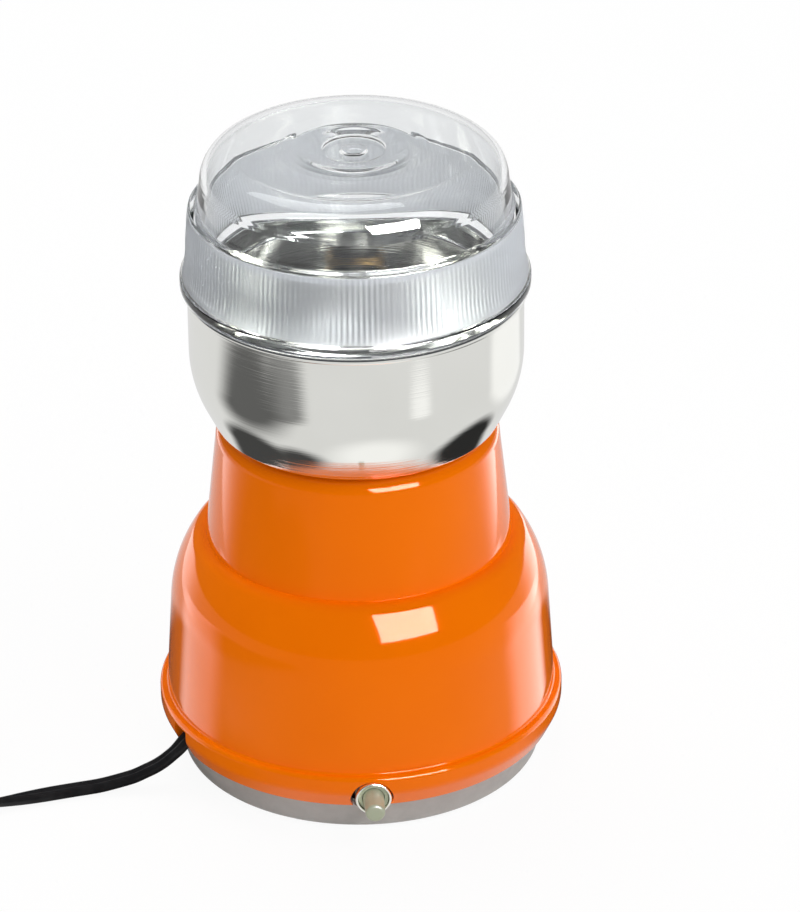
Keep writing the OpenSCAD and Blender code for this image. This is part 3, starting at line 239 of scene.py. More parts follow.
def through(points, steps):
    """A smooth line through points: each stretch is shared into steps."""
    line = []
    for i in range(len(points) - 1):
        before = points[max(i - 1, 0)]
        after = points[min(i + 2, len(points) - 1)]
        a, b = points[i], points[i + 1]
        for k in range(steps):
            t = k / steps
            line.append(0.5 * (2 * a + (b - before) * t + (2 * before - 5 * a + 4 * b - after) * t * t
                               + (3 * a - before - 3 * b + after) * t ** 3))
    return line + [points[-1]]


exit_angle = math.radians(-90 - EXIT_TURN)
lead_exit = EXIT_RADIUS * Vector((math.cos(exit_angle), math.sin(exit_angle), 0))
lead_route = [lead_exit + Vector(p) for p in LEAD_POINTS]
free_stretch = through(lead_route, STRETCH_STEPS)
free_rolls = [ON_EDGE * ease((i / STRETCH_STEPS - FLAT_UNTIL) / EDGE_OVER)
              for i in range(len(free_stretch))]
print("free stretch has", len(free_stretch), "steps")

# %% [markdown]
# The coil lies in two layers. Its turns spiral in at a steady rate, climb to the second layer in half a
# turn and spiral out again, and then the lead runs straight out and down to the plug.

# %% Coil of the lead
COIL_RADIUS = 28.6
COIL_STEP = 3.6
COIL_LAYER = 5.5
COIL_TURNS = 4.32
COIL_CLIMB = 0.5
COIL_LEAD_IN = 5.0
TURN_STEPS = 48
PLUG_HEIGHT = 6.85
LEAD_OUT = 26
OUT_STEP = 2
DROP_FROM = 8
DROP_OVER = 12

coil_start = lead_route[-1]


def coil_point(turns):
    """A point of the coil, clockwise from the side nearest the front."""
    from_middle = turns - COIL_TURNS / 2
    radius = COIL_RADIUS - COIL_STEP * COIL_TURNS / 2 + COIL_STEP * abs(from_middle)
    height = COIL_HEIGHT + COIL_LAYER * ease(from_middle / COIL_CLIMB + 0.5)
    angle = 2 * math.pi * turns
    centre = (coil_start.x - COIL_LEAD_IN, coil_start.y + COIL_RADIUS)
    return Vector((centre[0] - radius * math.sin(angle), centre[1] - radius * math.cos(angle), height))


turn_count = round(COIL_TURNS * TURN_STEPS)
coil_stretch = [coil_point(COIL_TURNS * i / turn_count) for i in range(turn_count + 1)]
end_angle = 2 * math.pi * COIL_TURNS
end_direction = Vector((-math.cos(end_angle), math.sin(end_angle), 0))
coil_end = coil_stretch[-1]
lead_out = []
for along in range(OUT_STEP, LEAD_OUT + 1, OUT_STEP):
    drop = (PLUG_HEIGHT - coil_end.z) * ease((along - DROP_FROM) / DROP_OVER)
    lead_out.append(coil_end + end_direction * along + Vector((0, 0, drop)))
cord_line = free_stretch + coil_stretch + lead_out
cord_rolls = free_rolls + [ON_EDGE] * (len(coil_stretch) + len(lead_out))
cord_total = sum((b - a).length for a, b in zip(cord_line, cord_line[1:]))
print("lead is", round(cord_total), "mm long in", len(cord_line), "steps")

# %% [markdown]
# The lead itself is one section pulled along that line. The section is the outline of two round cores
# in one sheath, with a shallow valley between them. Each step extrudes the last ring of edges and moves
# the new ring on by the difference between two positions of the section, so the mesh stays one tube.

# %% Lead
CORE_RADIUS = CORD_THICKNESS / 2
CORE_OFFSET = CORD_WIDTH / 2 - CORE_RADIUS
CORE_TURN = 118
VALLEY_DEPTH = 0.34
SOFT_ANGLE = 60


def flex_section():
    """Outline of a two-core flex, in millimetres across and up."""
    right = arc((CORE_OFFSET, 0), CORE_RADIUS, -CORE_TURN, CORE_TURN, 10)
    left = [(-x, -y) for x, y in right]
    valley = CORE_RADIUS - VALLEY_DEPTH
    return right + [(0, valley)] + left + [(0, -valley)]


def section_place(line, rolls, i):
    """Where the section sits at a step: across, up and forward as columns of a matrix."""
    ahead = (line[min(i + 1, len(line) - 1)] - line[max(i - 1, 0)]).normalized()
    side = Vector((0, 0, 1)).cross(ahead).normalized()
    up = ahead.cross(side)
    roll = math.radians(rolls[i])
    across = side * math.cos(roll) + up * math.sin(roll)
    upright = up * math.cos(roll) - side * math.sin(roll)
    turn = Matrix((across, upright, ahead)).transposed().to_4x4()
    return Matrix.Translation(line[i] * MM) @ turn


def pulled(section, line, rolls):
    """Extrudes a section along a line."""
    tube = bmesh.new()
    places = [section_place(line, rolls, i) for i in range(len(line))]
    edges = closed_ring(tube, [places[0] @ Vector((x * MM, y * MM, 0)) for x, y in section])[1]
    first = list(edges)
    for before, after in zip(places, places[1:]):
        grown = bmesh.ops.extrude_edge_only(tube, edges=edges)["geom"]
        moved = verts_among(grown)
        edges = [e for e in grown if isinstance(e, bmesh.types.BMEdge)
                 and all(v in moved for v in e.verts)]
        bmesh.ops.transform(tube, matrix=after @ before.inverted(), verts=moved)
    bmesh.ops.holes_fill(tube, edges=first)
    bmesh.ops.holes_fill(tube, edges=edges)
    return tube


lead = piece(pulled(flex_section(), cord_line, cord_rolls), "lead", "base", "cord_sheath",
             ("cord", "cord_coil"), sharp_angle=SOFT_ANGLE)
print("lead has", len(lead.data.polygons), "faces")

# %% [markdown]
# The unseen end is a plain two-pin plug with a ribbed strain relief. The plug's body starts as a flat
# outline that is extruded and bevelled on all its edges, and the strain relief is turned. Both are made
# along the X axis from the lead's end, and one matrix then puts them in their place.

# %% Plug
PLUG_WIDTH = 35.3
PLUG_THICKNESS = 13.7
PLUG_LENGTH = 36.0
PLUG_BACK = 14.0
PLUG_FRONT = 14.0
PLUG_ROUND = 2.2
BOOT_LENGTH = 20.0
BOOT_TIP = 3.6
BOOT_BASE = 5.0
BOOT_SUNK = 2.0
BOOT_GROOVES = 6
FIRST_GROOVE = 2.0
GROOVE_PITCH = 2.6
GROOVE_WIDTH = 1.4
GROOVE_SLOPE = 0.3
GROOVE_DEPTH = 0.6

plug_start = cord_line[-1]
plug_face = BOOT_LENGTH + PLUG_LENGTH
plug_turn = Matrix.Rotation(math.atan2(end_direction.y, end_direction.x), 4, "Z")
plug_place = Matrix.Translation(Vector((plug_start.x, plug_start.y, PLUG_HEIGHT)) * MM) @ plug_turn
along_x = Matrix.Rotation(math.pi / 2, 4, "Y")


def boot_outline():
    """Outline of the strain relief: a taper with rings and grooves."""
    outline = [(0, 0), (BOOT_TIP - 0.3, 0), (BOOT_TIP, 0.4)]
    for i in range(BOOT_GROOVES):
        start = FIRST_GROOVE + i * GROOVE_PITCH
        end = start + GROOVE_WIDTH
        wall = BOOT_TIP + (BOOT_BASE - BOOT_TIP) * start / BOOT_LENGTH
        bottom = wall - GROOVE_DEPTH
        outline += [(wall, start), (bottom, start + GROOVE_SLOPE),
                    (bottom, end - GROOVE_SLOPE), (wall, end)]
    sunk = BOOT_LENGTH + BOOT_SUNK
    return outline + [(BOOT_BASE, BOOT_LENGTH), (BOOT_BASE, sunk), (0, sunk)]


def plug_shell():
    """The plug's body: narrow at the lead, full width at its face, rounded on every edge."""
    shell = bmesh.new()
    half_back, half_front = PLUG_BACK / 2, PLUG_WIDTH / 2
    shoulder = plug_face - PLUG_FRONT
    outline = [(BOOT_LENGTH, -half_back), (shoulder, -half_front), (plug_face, -half_front),
               (plug_face, half_front), (shoulder, half_front), (BOOT_LENGTH, half_back)]
    underside = -PLUG_THICKNESS / 2 * MM
    face = shell.faces.new([shell.verts.new((x * MM, y * MM, underside)) for x, y in outline])
    top = bmesh.ops.extrude_face_region(shell, geom=[face])["geom"]
    bmesh.ops.translate(shell, vec=(0, 0, PLUG_THICKNESS * MM), verts=verts_among(top))
    bmesh.ops.bevel(shell, geom=shell.edges[:], offset=PLUG_ROUND * MM, offset_type="OFFSET", segments=5,
                    profile=0.5, affect="EDGES", material=-1)
    return shell


plug = piece(plug_shell(), "plug", "base", "cord_sheath", ("plug_body",))
plug.data.transform(plug_place)
boot = piece(turned(boot_outline(), 48), "plug_boot", "base", "cord_sheath")
boot.data.transform(plug_place @ along_x)
print("plug starts at", [round(v, 1) for v in plug_start], "mm")

# %% [markdown]
# The pins are turned one by one and joined into one mesh, and so are the sleeves on their roots, which
# keep fingers off the metal while the plug is pulled out.

# %% Pins
PIN_RADIUS = 2.0
PIN_LENGTH = 19.0
PIN_PITCH = 18.6
PIN_ROOT = 6.0
PIN_TIP = 1.2
SLEEVE_WALL = 0.15
SLEEVE_ROOT = 1.0
SLEEVE_LENGTH = 10.0
SLEEVE_EDGE = 0.2


def pin_pair(outline, name, slot, nodes=()):
    """Two turned pins side by side on the plug's face."""
    pair = bmesh.new()
    for side in (-1, 1):
        one = turned(outline, 32)
        bmesh.ops.transform(one, matrix=along_x, verts=one.verts)
        bmesh.ops.translate(one, vec=(plug_face * MM, side * PIN_PITCH / 2 * MM, 0), verts=one.verts)
        part = bpy.data.meshes.new("pin")
        one.to_mesh(part)
        one.free()
        pair.from_mesh(part)
        bpy.data.meshes.remove(part)
    obj = piece(pair, name, "base", slot, nodes)
    obj.data.transform(plug_place)
    return obj


pin_outline = ([(0, -PIN_ROOT), (PIN_RADIUS, -PIN_ROOT)]
               + arc((PIN_RADIUS - PIN_TIP, PIN_LENGTH - PIN_TIP), PIN_TIP, 0, 90, 6) + [(0, PIN_LENGTH)])
pins = pin_pair(pin_outline, "pins", "pin_metal", ("plug_pins",))
sleeve_radius = PIN_RADIUS + SLEEVE_WALL
sleeve_outline = [(PIN_RADIUS, -SLEEVE_ROOT), (sleeve_radius, -SLEEVE_ROOT),
                  (sleeve_radius, SLEEVE_LENGTH - SLEEVE_EDGE), (PIN_RADIUS, SLEEVE_LENGTH)]
sleeves = pin_pair(sleeve_outline, "pin_sleeves", "dark_plastic")
print("pins are", PIN_PITCH, "mm apart")

# %% [markdown]
# A tie holds the coil together. It is a flat strap round the bundle: a rounded outline is extruded across
# and then given its thickness with solidify.

# %% Tie
TIE_ROUND = 1.4
TIE_THICKNESS = 0.6

tie_low, tie_high = low_mm("coil_tie"), high_mm("coil_tie")


def tie_outline():
    """Rounded rectangle around the coil's bundle, across and up."""
    x0, x1, z0, z1 = tie_low.x, tie_high.x, tie_low.z, tie_high.z
    r = TIE_ROUND
    return (arc((x1 - r, z0 + r), r, -90, 0, 5) + arc((x1 - r, z1 - r), r, 0, 90, 5)
            + arc((x0 + r, z1 - r), r, 90, 180, 5) + arc((x0 + r, z0 + r), r, 180, 270, 5))


def tie_shell():
    """The outline as a strap with the tie's width and thickness."""
    shell = bmesh.new()
    edges = closed_ring(shell, [(x * MM, tie_low.y * MM, z * MM) for x, z in tie_outline()])[1]
    grown = bmesh.ops.extrude_edge_only(shell, edges=edges)["geom"]
    bmesh.ops.translate(shell, vec=(0, (tie_high.y - tie_low.y) * MM, 0), verts=verts_among(grown))
    bmesh.ops.recalc_face_normals(shell, faces=shell.faces)
    bmesh.ops.solidify(shell, geom=shell.faces[:], thickness=TIE_THICKNESS * MM)
    return shell


tie = piece(tie_shell(), "tie", "base", "dark_plastic", ("coil_tie",))
# The black coil would spoil the reflections in the polished pieces, so they leave it out
for obj in (lead, plug, boot, pins, sleeves, tie):
    obj.visible_glossy = False
print("tie is", round(tie_high.y - tie_low.y, 1), "mm wide")

# %% [markdown]
# ## Housing
# The housing is one glossy moulding: a flange, a bell-shaped body, a round shoulder, a tight hollow
# where the neck stands on it and a rounded lip under the bowl. A lofted surface would work too, but the
# shape is round, so an outline with enough points on each curve, spun in many steps, gives cleaner
# reflections. The corners of the outline are bends, which leave one line and reach the next smoothly.

# %% Outside of the housing
FLANGE_HEIGHT = 9.4
FLANGE_ROUND = 1.2
FLANGE_EDGE = 0.35
BEVEL_HEIGHT = 4.8
BEVEL_WIDTH = 2.3
BEVEL_ROUND = 1.0
FLANGE_LIP = 1.4
CREASE_ROUND = 0.5
BODY_LOW = 50.7
BODY_TOP = (49.1, 44.0)
SHOULDER_TURN = 34
SHOULDER_EDGE = 4.1
HOLLOW = 0.1
NECK_LOW = (39.5, 62.75)
NECK_TOP = (36.35, 90.5)
NECK_ROUND = 4.0


def bend(start, corner, end, steps):
    """Points of a smooth bend that leaves start and reaches end along the lines to the corner."""
    parts = [i / steps for i in range(steps + 1)]
    return [tuple((1 - t) ** 2 * a + 2 * t * (1 - t) * c + t * t * b
                  for a, c, b in zip(start, corner, end)) for t in parts]


flange_low = low_mm("housing").z
flange_radius = high_mm("housing").x
deck_height = high_mm("housing").z
flange_top = flange_low + FLANGE_HEIGHT
flange_foot = flange_radius - BEVEL_WIDTH
flange_inside = flange_foot - FLANGE_LIP
face_low = flange_low + BEVEL_HEIGHT

# The shoulder's arc takes over the lean of the body's wall and ends in a small round edge
shoulder_start = math.atan2(BODY_LOW - BODY_TOP[0], BODY_TOP[1] - flange_top)
turn_sine = math.sin(math.radians(SHOULDER_TURN))
turn_cosine = math.cos(math.radians(SHOULDER_TURN))
shoulder_radius = ((NECK_LOW[1] - BODY_TOP[1] - SHOULDER_EDGE * (1 - turn_sine))
                   / (turn_sine - math.sin(shoulder_start)))
shoulder_centre = (BODY_TOP[0] - shoulder_radius * math.cos(shoulder_start),
                   BODY_TOP[1] - shoulder_radius * math.sin(shoulder_start))
edge_centre = (shoulder_centre[0] + (shoulder_radius - SHOULDER_EDGE) * turn_cosine,
               shoulder_centre[1] + (shoulder_radius - SHOULDER_EDGE) * turn_sine)
shoulder_angles = (math.degrees(shoulder_start), SHOULDER_TURN)
shoulder = (arc(shoulder_centre, shoulder_radius, *shoulder_angles, 24)
            + arc(edge_centre, SHOULDER_EDGE, SHOULDER_TURN, 90, 8)[1:])
neck_slope = (NECK_TOP[0] - NECK_LOW[0]) / (NECK_TOP[1] - NECK_LOW[1])
sweep = bend((NECK_LOW[0] + HOLLOW, NECK_LOW[1]), NECK_LOW,
             (NECK_LOW[0] + HOLLOW * neck_slope, NECK_LOW[1] + HOLLOW), 6)
crease = arc((BODY_LOW + CREASE_ROUND, flange_top + CREASE_ROUND), CREASE_ROUND, 270, 180, 4)
bevel_slope = BEVEL_WIDTH / BEVEL_HEIGHT
housing_outside = (
    [(flange_inside, flange_low)]
    + bend((flange_foot - FLANGE_EDGE, flange_low), (flange_foot, flange_low),
           (flange_foot + FLANGE_EDGE * bevel_slope, flange_low + FLANGE_EDGE), 4)
    + bend((flange_radius - BEVEL_ROUND * bevel_slope, face_low - BEVEL_ROUND),
           (flange_radius, face_low), (flange_radius, face_low + BEVEL_ROUND), 6)
    + arc((flange_radius - FLANGE_ROUND, flange_top - FLANGE_ROUND), FLANGE_ROUND, 0, 90, 6)
    + crease + shoulder + sweep + [NECK_TOP]
    + arc((NECK_TOP[0] - NECK_ROUND, NECK_TOP[1]), NECK_ROUND, 0, 90, 12)[1:])
print("shoulder has a radius of", round(shoulder_radius, 1), "mm")

# %% [markdown]
# The inside follows the outside at the wall's thickness, with a deck under the bowl and a ledge in the
# flange. It never shows from outside, so it has fewer points. Both lines together are one closed outline,
# and the spin gives the shell its true thickness where the openings cut it.

# %% Housing
HOUSING_WALL = 2.4
DECK = 3.0
DECK_HOLE = 5.1

ledge = flange_top - HOUSING_WALL
housing_inside = (
    [(DECK_HOLE, deck_height), (DECK_HOLE, deck_height - DECK),
     (NECK_TOP[0] - HOUSING_WALL, deck_height - DECK),
     (NECK_LOW[0] - HOUSING_WALL, NECK_LOW[1] - HOUSING_WALL)]
    + arc(shoulder_centre, shoulder_radius - HOUSING_WALL, *shoulder_angles, 8)[::-1]
    + [(BODY_LOW - HOUSING_WALL, ledge), (flange_inside, ledge)])
housing = piece(turned(housing_outside + housing_inside, 256), "housing_shell", "base", "orange_plastic",
                ("housing",))
print("housing has", len(housing.data.polygons), "faces, neck lip at", round(deck_height, 1), "mm")

# %% [markdown]
# ## Helpers for cutting
# An opening is the difference between a shell and a simple solid that reaches past its wall. A Boolean
# modifier makes it. The modifier is applied at once, and the solid that did the cutting is deleted.

# %% Cutting helpers


def cut_away(obj, cutters):
    """Cuts solid shapes out of a piece with Boolean modifiers and applies the result."""
    for cutter in cutters:
        cut = obj.modifiers.new("cut", "BOOLEAN")
        cut.operation = "DIFFERENCE"
        cut.solver = "EXACT"
        cut.object = cutter
    shown = obj.evaluated_get(bpy.context.evaluated_depsgraph_get())
    mesh = bpy.data.meshes.new_from_object(shown)
    obj.modifiers.clear()
    old = obj.data
    obj.data = mesh
    bpy.data.meshes.remove(old)
    for cutter in cutters:
        bpy.data.objects.remove(cutter)
    shade(obj, SHARP_ANGLE)


def block(low, high):
    """A box between two corners in millimetres."""
    shell = bmesh.new()
    bmesh.ops.create_cube(shell, size=1)
    size = [h - l for l, h in zip(low, high)]
    middle = [(h + l) / 2 for l, h in zip(low, high)]
    bmesh.ops.scale(shell, vec=[s * MM for s in size], verts=shell.verts)
    bmesh.ops.translate(shell, vec=[m * MM for m in middle], verts=shell.verts)
    return shell


def rod(radius, start, end, segments=48):
    """A round bar between two points in millimetres."""
    shell = bmesh.new()
    line = Vector(end) - Vector(start)
    bmesh.ops.create_cone(shell, cap_ends=True, segments=segments, radius1=radius * MM,
                          radius2=radius * MM, depth=line.length * MM)
    turn = line.to_track_quat("Z", "Y").to_matrix().to_4x4()
    middle = Matrix.Translation((Vector(start) + Vector(end)) / 2 * MM)
    bmesh.ops.transform(shell, matrix=middle @ turn, verts=shell.verts)
    return shell


print("cutting helpers ready")

# %% [markdown]
# The flange has two openings. The button's is round and faces the front, and the lead's is a square notch
# at the side. The base has to leave the same two open, so each cutter is a function that both can use.

# %% Openings of the housing
BUTTON_HEIGHT = 11.9
BUTTON_HOLE = 5.5
HOLE_SHIFT = -0.4
COLLAR_BACK = 46.3
CORD_HOLE = 6.4
CORD_HOLE_TOP = 17.0
HOUSING_CUT = 44.7
CUT_BELOW = 2
CLEAR_OF_FLANGE = 60


def button_cutter():
    """A bar through the front of the flange."""
    start = (HOLE_SHIFT, -COLLAR_BACK, BUTTON_HEIGHT)
    end = (HOLE_SHIFT, -CLEAR_OF_FLANGE, BUTTON_HEIGHT)
    return mesh_object(rod(BUTTON_HOLE, start, end, 96), "cutter")


def turned_block(low, high, angle):
    """A box that is turned about the upright axis by an angle in radians."""
    shell = block(low, high)
    bmesh.ops.transform(shell, matrix=Matrix.Rotation(angle, 4, "Z"), verts=shell.verts)
    return mesh_object(shell, "cutter")


def lead_cutter(inner, low, high):
    """A box through the flange where the lead comes out."""
    return turned_block((inner, -CORD_HOLE / 2, low), (CLEAR_OF_FLANGE, CORD_HOLE / 2, high), exit_angle)


cut_away(housing, [button_cutter(), lead_cutter(HOUSING_CUT, flange_low - CUT_BELOW, CORD_HOLE_TOP)])
print("with its openings it has", len(housing.data.polygons), "faces")

# %% [markdown]
# ## Base
# The base is a shallow grey cup that closes the housing from below. Its wall shows as a narrow band
# under the flange. It is turned like the housing, and its floor gets pockets for the feet, holes for
# the screws and slots for cooling air, cut with the same helper.

# %% Base
BASE_LOW = 46.9
BASE_ROUND = 1.6
BASE_WALL = 2.2
FOOT_CIRCLE = 36.0
FOOT_POCKET = 5.02
POST_CIRCLE = 40.5
SCREW_HOLE = 2.95
SCREW_SEAT = 4.7
VENTS = 8
VENT_WIDTH = 2.4
VENT_IN, VENT_OUT = 14.0, 26.0
LIP_FIT = 0.15
FOOT_DEPTH = 1.0
BASE_CUT = 43.7
BASE_CUT_BELOW = 0.5
PAST = 1

base_low = low_mm("base_cover").z
base_lip = flange_inside - LIP_FIT
floor_top = base_low + BASE_WALL
base_outline = (
    [(0, base_low)] + arc((BASE_LOW - BASE_ROUND, base_low + BASE_ROUND), BASE_ROUND, -90, 0, 8)
    + [(base_lip, flange_low), (base_lip, ledge), (base_lip - BASE_WALL, ledge),
       (base_lip - BASE_WALL, flange_low), (BASE_LOW - BASE_WALL, floor_top), (0, floor_top)])
base = piece(turned(base_outline, 192), "base_shell", "base", "grey_plastic", ("base_cover",))
base_cutters = [button_cutter(), lead_cutter(BASE_CUT, flange_low - BASE_CUT_BELOW, ledge + PAST)]


def floor_hole(turn, circle, radius, top):
    """A round cutter through the floor, at an angle in degrees and a distance from the middle."""
    x = circle * math.cos(math.radians(turn))
    y = circle * math.sin(math.radians(turn))
    return mesh_object(rod(radius, (x, y, -PAST), (x, y, top)), "cutter")


for turn in range(0, 360, 90):
    base_cutters.append(floor_hole(turn, FOOT_CIRCLE, FOOT_POCKET, base_low + FOOT_DEPTH))
    base_cutters.append(floor_hole(turn + 45, POST_CIRCLE, SCREW_HOLE, SCREW_SEAT))
for i in range(VENTS):
    vent_angle = 2 * math.pi * (i + 0.5) / VENTS
    base_cutters.append(turned_block((VENT_IN, -VENT_WIDTH / 2, -PAST),
                                     (VENT_OUT, VENT_WIDTH / 2, floor_top + PAST), vent_angle))
cut_away(base, base_cutters)
print("base has", len(base.data.polygons), "faces")

# %% [markdown]
# ## Bowl
# The bowl is thin polished steel: a straight side, a wide curve into a short cone, a flat floor and a
# rolled rim. One closed outline holds the outside, the bead of the rim and the inside, so the sheet has
# its real thickness where the lid's clear wall lets you look in.

# %% Bowl
BOWL_RADIUS = 42.45
SHEET = 0.8
BOWL_BEND = 31.0
BOWL_TURN = 26
BOWL_CONE = 5.6
BOWL_CORNER = 2.4
RIM_BEAD = 1.1
BEAD_START, BEAD_END = -68, 128
BEAD_OUTSIDE, BEAD_INSIDE = 1.0, 0.6
BUSH_HOLE = 5.1

bowl_low = low_mm("bowl").z
rim_height = high_mm("bowl").z
rim_radius = high_mm("bowl").x
turn_angle = math.radians(BOWL_TURN)
bend_height = (bowl_low + BOWL_BEND * math.sin(turn_angle) + BOWL_CONE
               + BOWL_CORNER * (1 - math.sin(turn_angle)))
bend_centre = (BOWL_RADIUS - BOWL_BEND, bend_height)
corner_centre = (bend_centre[0] + (BOWL_BEND - BOWL_CORNER) * math.cos(turn_angle)
                 - BOWL_CONE * math.tan(turn_angle), bowl_low + BOWL_CORNER)
bead_centre = (rim_radius - RIM_BEAD, rim_height - RIM_BEAD)
bowl_outside = (
    [(BUSH_HOLE, bowl_low)] + arc(corner_centre, BOWL_CORNER, -90, -BOWL_TURN, 8)
    + arc(bend_centre, BOWL_BEND, -BOWL_TURN, 0, 24)
    + [(BOWL_RADIUS, bead_centre[1] - BEAD_OUTSIDE)]
    + arc(bead_centre, RIM_BEAD, BEAD_START, BEAD_END, 16))
bowl_inside = (
    [(BOWL_RADIUS - SHEET, bead_centre[1] - BEAD_INSIDE)]
    + arc(bend_centre, BOWL_BEND - SHEET, 0, -BOWL_TURN, 24)
    + arc(corner_centre, BOWL_CORNER - SHEET, -BOWL_TURN, -90, 8) + [(BUSH_HOLE, bowl_low + SHEET)])
bowl = piece(turned(bowl_outside + bowl_inside, 256), "bowl_shell", "base", "bowl_steel", ("bowl",))
print("bowl is", round(rim_height - bowl_low, 1), "mm deep, with", len(bowl.data.polygons), "faces")

# %% [markdown]
# ## Lid
# The lid is a clear moulding: a spigot that sits in the bowl, a low flange, a tall skirt, a step and a
# dome. Its outline is worked out in parts, from the spigot up to the round edge of the dome, over the
# crown and back down the inside.

# %% Outside of the lid
LID_FLANGE = 3.0
LID_EDGE = 0.5
LID_WALL = 1.8
SKIRT_LOW = 43.5
SKIRT_MID = 42.5
SKIRT_TOP = 41.8
SKIRT_HEIGHT = 18.3
SKIRT_FOOT = 0.6
SKIRT_ROUND = 0.8
SKIRT_HOLD = 0.1
SKIRT_LEAN, LEAN_FROM = 0.3, 4
STEP_ROUND = 0.5
DOME_LOW = 39.7
DOME_RADIUS = 38.6
DOME_HEIGHT = 15.4
DOME_ROUND = 8.5
SPIGOT = 6.5
SPIGOT_FIT = 0.35
SPIGOT_EDGE = 0.4

spigot_low = low_mm("lid").z
lid_low = spigot_low + SPIGOT
lid_radius = high_mm("lid").x
skirt_low = lid_low + LID_FLANGE
skirt_top = skirt_low + SKIRT_HEIGHT
lid_top = skirt_top + DOME_HEIGHT
spigot_radius = BOWL_RADIUS - SHEET - SPIGOT_FIT
spigot_inside = spigot_radius - LID_WALL
dome_centre = (DOME_RADIUS - DOME_ROUND, lid_top - DOME_ROUND)
skirt_line = bend((SKIRT_LOW, skirt_low + SKIRT_FOOT), (SKIRT_MID, skirt_low + SKIRT_HEIGHT / 4),
                  (SKIRT_MID, skirt_low + SKIRT_HEIGHT / 2), 5)
lid_outside = (
    [(spigot_inside + SPIGOT_EDGE, spigot_low), (spigot_radius - SPIGOT_EDGE, spigot_low),
     (spigot_radius, spigot_low + SPIGOT_EDGE), (spigot_radius, lid_low), (lid_radius - LID_EDGE, lid_low)]
    + arc((lid_radius - LID_EDGE, lid_low + LID_EDGE), LID_EDGE, -90, 0, 3)[1:]
    + arc((lid_radius - LID_EDGE, skirt_low - LID_EDGE), LID_EDGE, 0, 90, 3)
    + skirt_line
    + [(SKIRT_TOP + SKIRT_LEAN, skirt_top - LEAN_FROM), (SKIRT_TOP, skirt_top - SKIRT_ROUND - SKIRT_HOLD)]
    + arc((SKIRT_TOP - SKIRT_ROUND, skirt_top - SKIRT_ROUND), SKIRT_ROUND, 0, 90, 4)
    + arc((DOME_LOW + STEP_ROUND, skirt_top + STEP_ROUND), STEP_ROUND, 270, 180, 3)
    + arc(dome_centre, DOME_ROUND, 0, 90, 10))
print("lid's top is at", round(lid_top, 1), "mm")

# %% [markdown]
# The crown has a faint ring, a very shallow dish, a well and a moulding nub in the middle. Light bends
# at both faces of a clear wall, so the underside needs as much care as the top: where the top steps
# down, it follows in one long soft curve.

# %% Crown and underside of the lid
RING = 15.6
RING_STEP = 0.05
RING_EASE, RING_TURN = 1.2, 0.4
DISH = 12.5
DISH_EASE = 1
DISH_DEPTH = 0.4
WELL = 8.0
WELL_DEPTH = 0.45
NUB = 3.4
NUB_HEIGHT = 0.4
UNDER_BEND = 3.5
UNDER_REACH = 9
UNDER_STEP = 1.2

disc = lid_top - RING_STEP
dish_low = disc - DISH_DEPTH
well = dish_low - WELL_DEPTH
dish_slope = DISH_DEPTH / (DISH - WELL)
ring_middle = (RING, lid_top - RING_STEP / 2)
lid_crown = (
    bend((RING + RING_EASE, lid_top), (RING + RING_TURN, lid_top), ring_middle, 3)
    + bend(ring_middle, (RING - RING_TURN, disc), (RING - RING_EASE, disc), 3)[1:]
    + bend((DISH + DISH_EASE, disc), (DISH, disc), (DISH - DISH_EASE, disc - dish_slope * DISH_EASE), 3)
    + bend((WELL + 0.4, dish_low + 0.4 * dish_slope), (WELL, dish_low), (WELL - 0.2, dish_low - 0.15), 2)
    + bend((WELL - 0.25, well + 0.1), (WELL - 0.4, well), (WELL - 0.8, well), 2)
    + bend((NUB + 0.5, well), (NUB, well), (NUB - 0.15, well + 0.2), 2)
    + bend((NUB - 0.2, well + 0.25), (NUB - 0.3, well + NUB_HEIGHT), (NUB - 0.7, well + NUB_HEIGHT), 2)
    + [(0, well + NUB_HEIGHT)])
under_well = well - LID_WALL
under_top = lid_top - LID_WALL
under_middle = (DISH, (under_well + under_top) / 2)
lid_inside = (
    [(0, under_well)] + bend((NUB, under_well), (DISH - UNDER_BEND, under_well), under_middle, 4)
    + bend(under_middle, (DISH + UNDER_BEND, under_top), (DISH + UNDER_REACH, under_top), 4)[1:]
    + arc(dome_centre, DOME_ROUND - LID_WALL, 90, 0, 8)
    + [(DOME_LOW - LID_WALL, skirt_top - LID_WALL), (spigot_inside, skirt_top - LID_WALL - UNDER_STEP)])
lid_outline = lid_outside + lid_crown + lid_inside
print("lid's outline has", len(lid_outline), "points")

# %% [markdown]
# The ribs of the skirt are real: the outline is spun with four steps for each rib, and then the points
# of the skirt move in and out in turn. A bump map would give the ribs their shine, but not the way they
# break up what is seen through them.

# %% Lid with its ribs
RIBS = 196
RIB_STEPS = 4
RIB_DEPTH = 0.13
RIBS_START, RIBS_END = 1.5, 0.5
SKIRT_BAND = 0.5
LID_SHARP_ANGLE = 50

lid_shell = turned(lid_outline, RIBS * RIB_STEPS)
tidy(lid_shell)
ribbed = 0
for vert in lid_shell.verts:
    height = vert.co.z / MM
    radius = math.hypot(vert.co.x, vert.co.y) / MM
    if skirt_low + RIBS_START < height < skirt_top - RIBS_END and radius > SKIRT_TOP - SKIRT_BAND:
        turn = math.atan2(vert.co.y, vert.co.x)
        push = 1 - RIB_DEPTH * (1 - math.cos(RIBS * turn)) / 2 / radius
        vert.co.x *= push
        vert.co.y *= push
        ribbed += 1
lid = piece(lid_shell, "lid_shell", "lid", "clear_plastic", ("lid",), sharp_angle=LID_SHARP_ANGLE)
print("lid has", len(lid.data.polygons), "faces,", ribbed, "points in its ribs")

# %% [markdown]
# ## Button and collar
# The button is a short moulded plunger in a bright collar, pushed in towards the motor. Both are
# turned about an axis that points to the front, so they are spun upright and then laid over. A thin ring
# closes the gap between them.

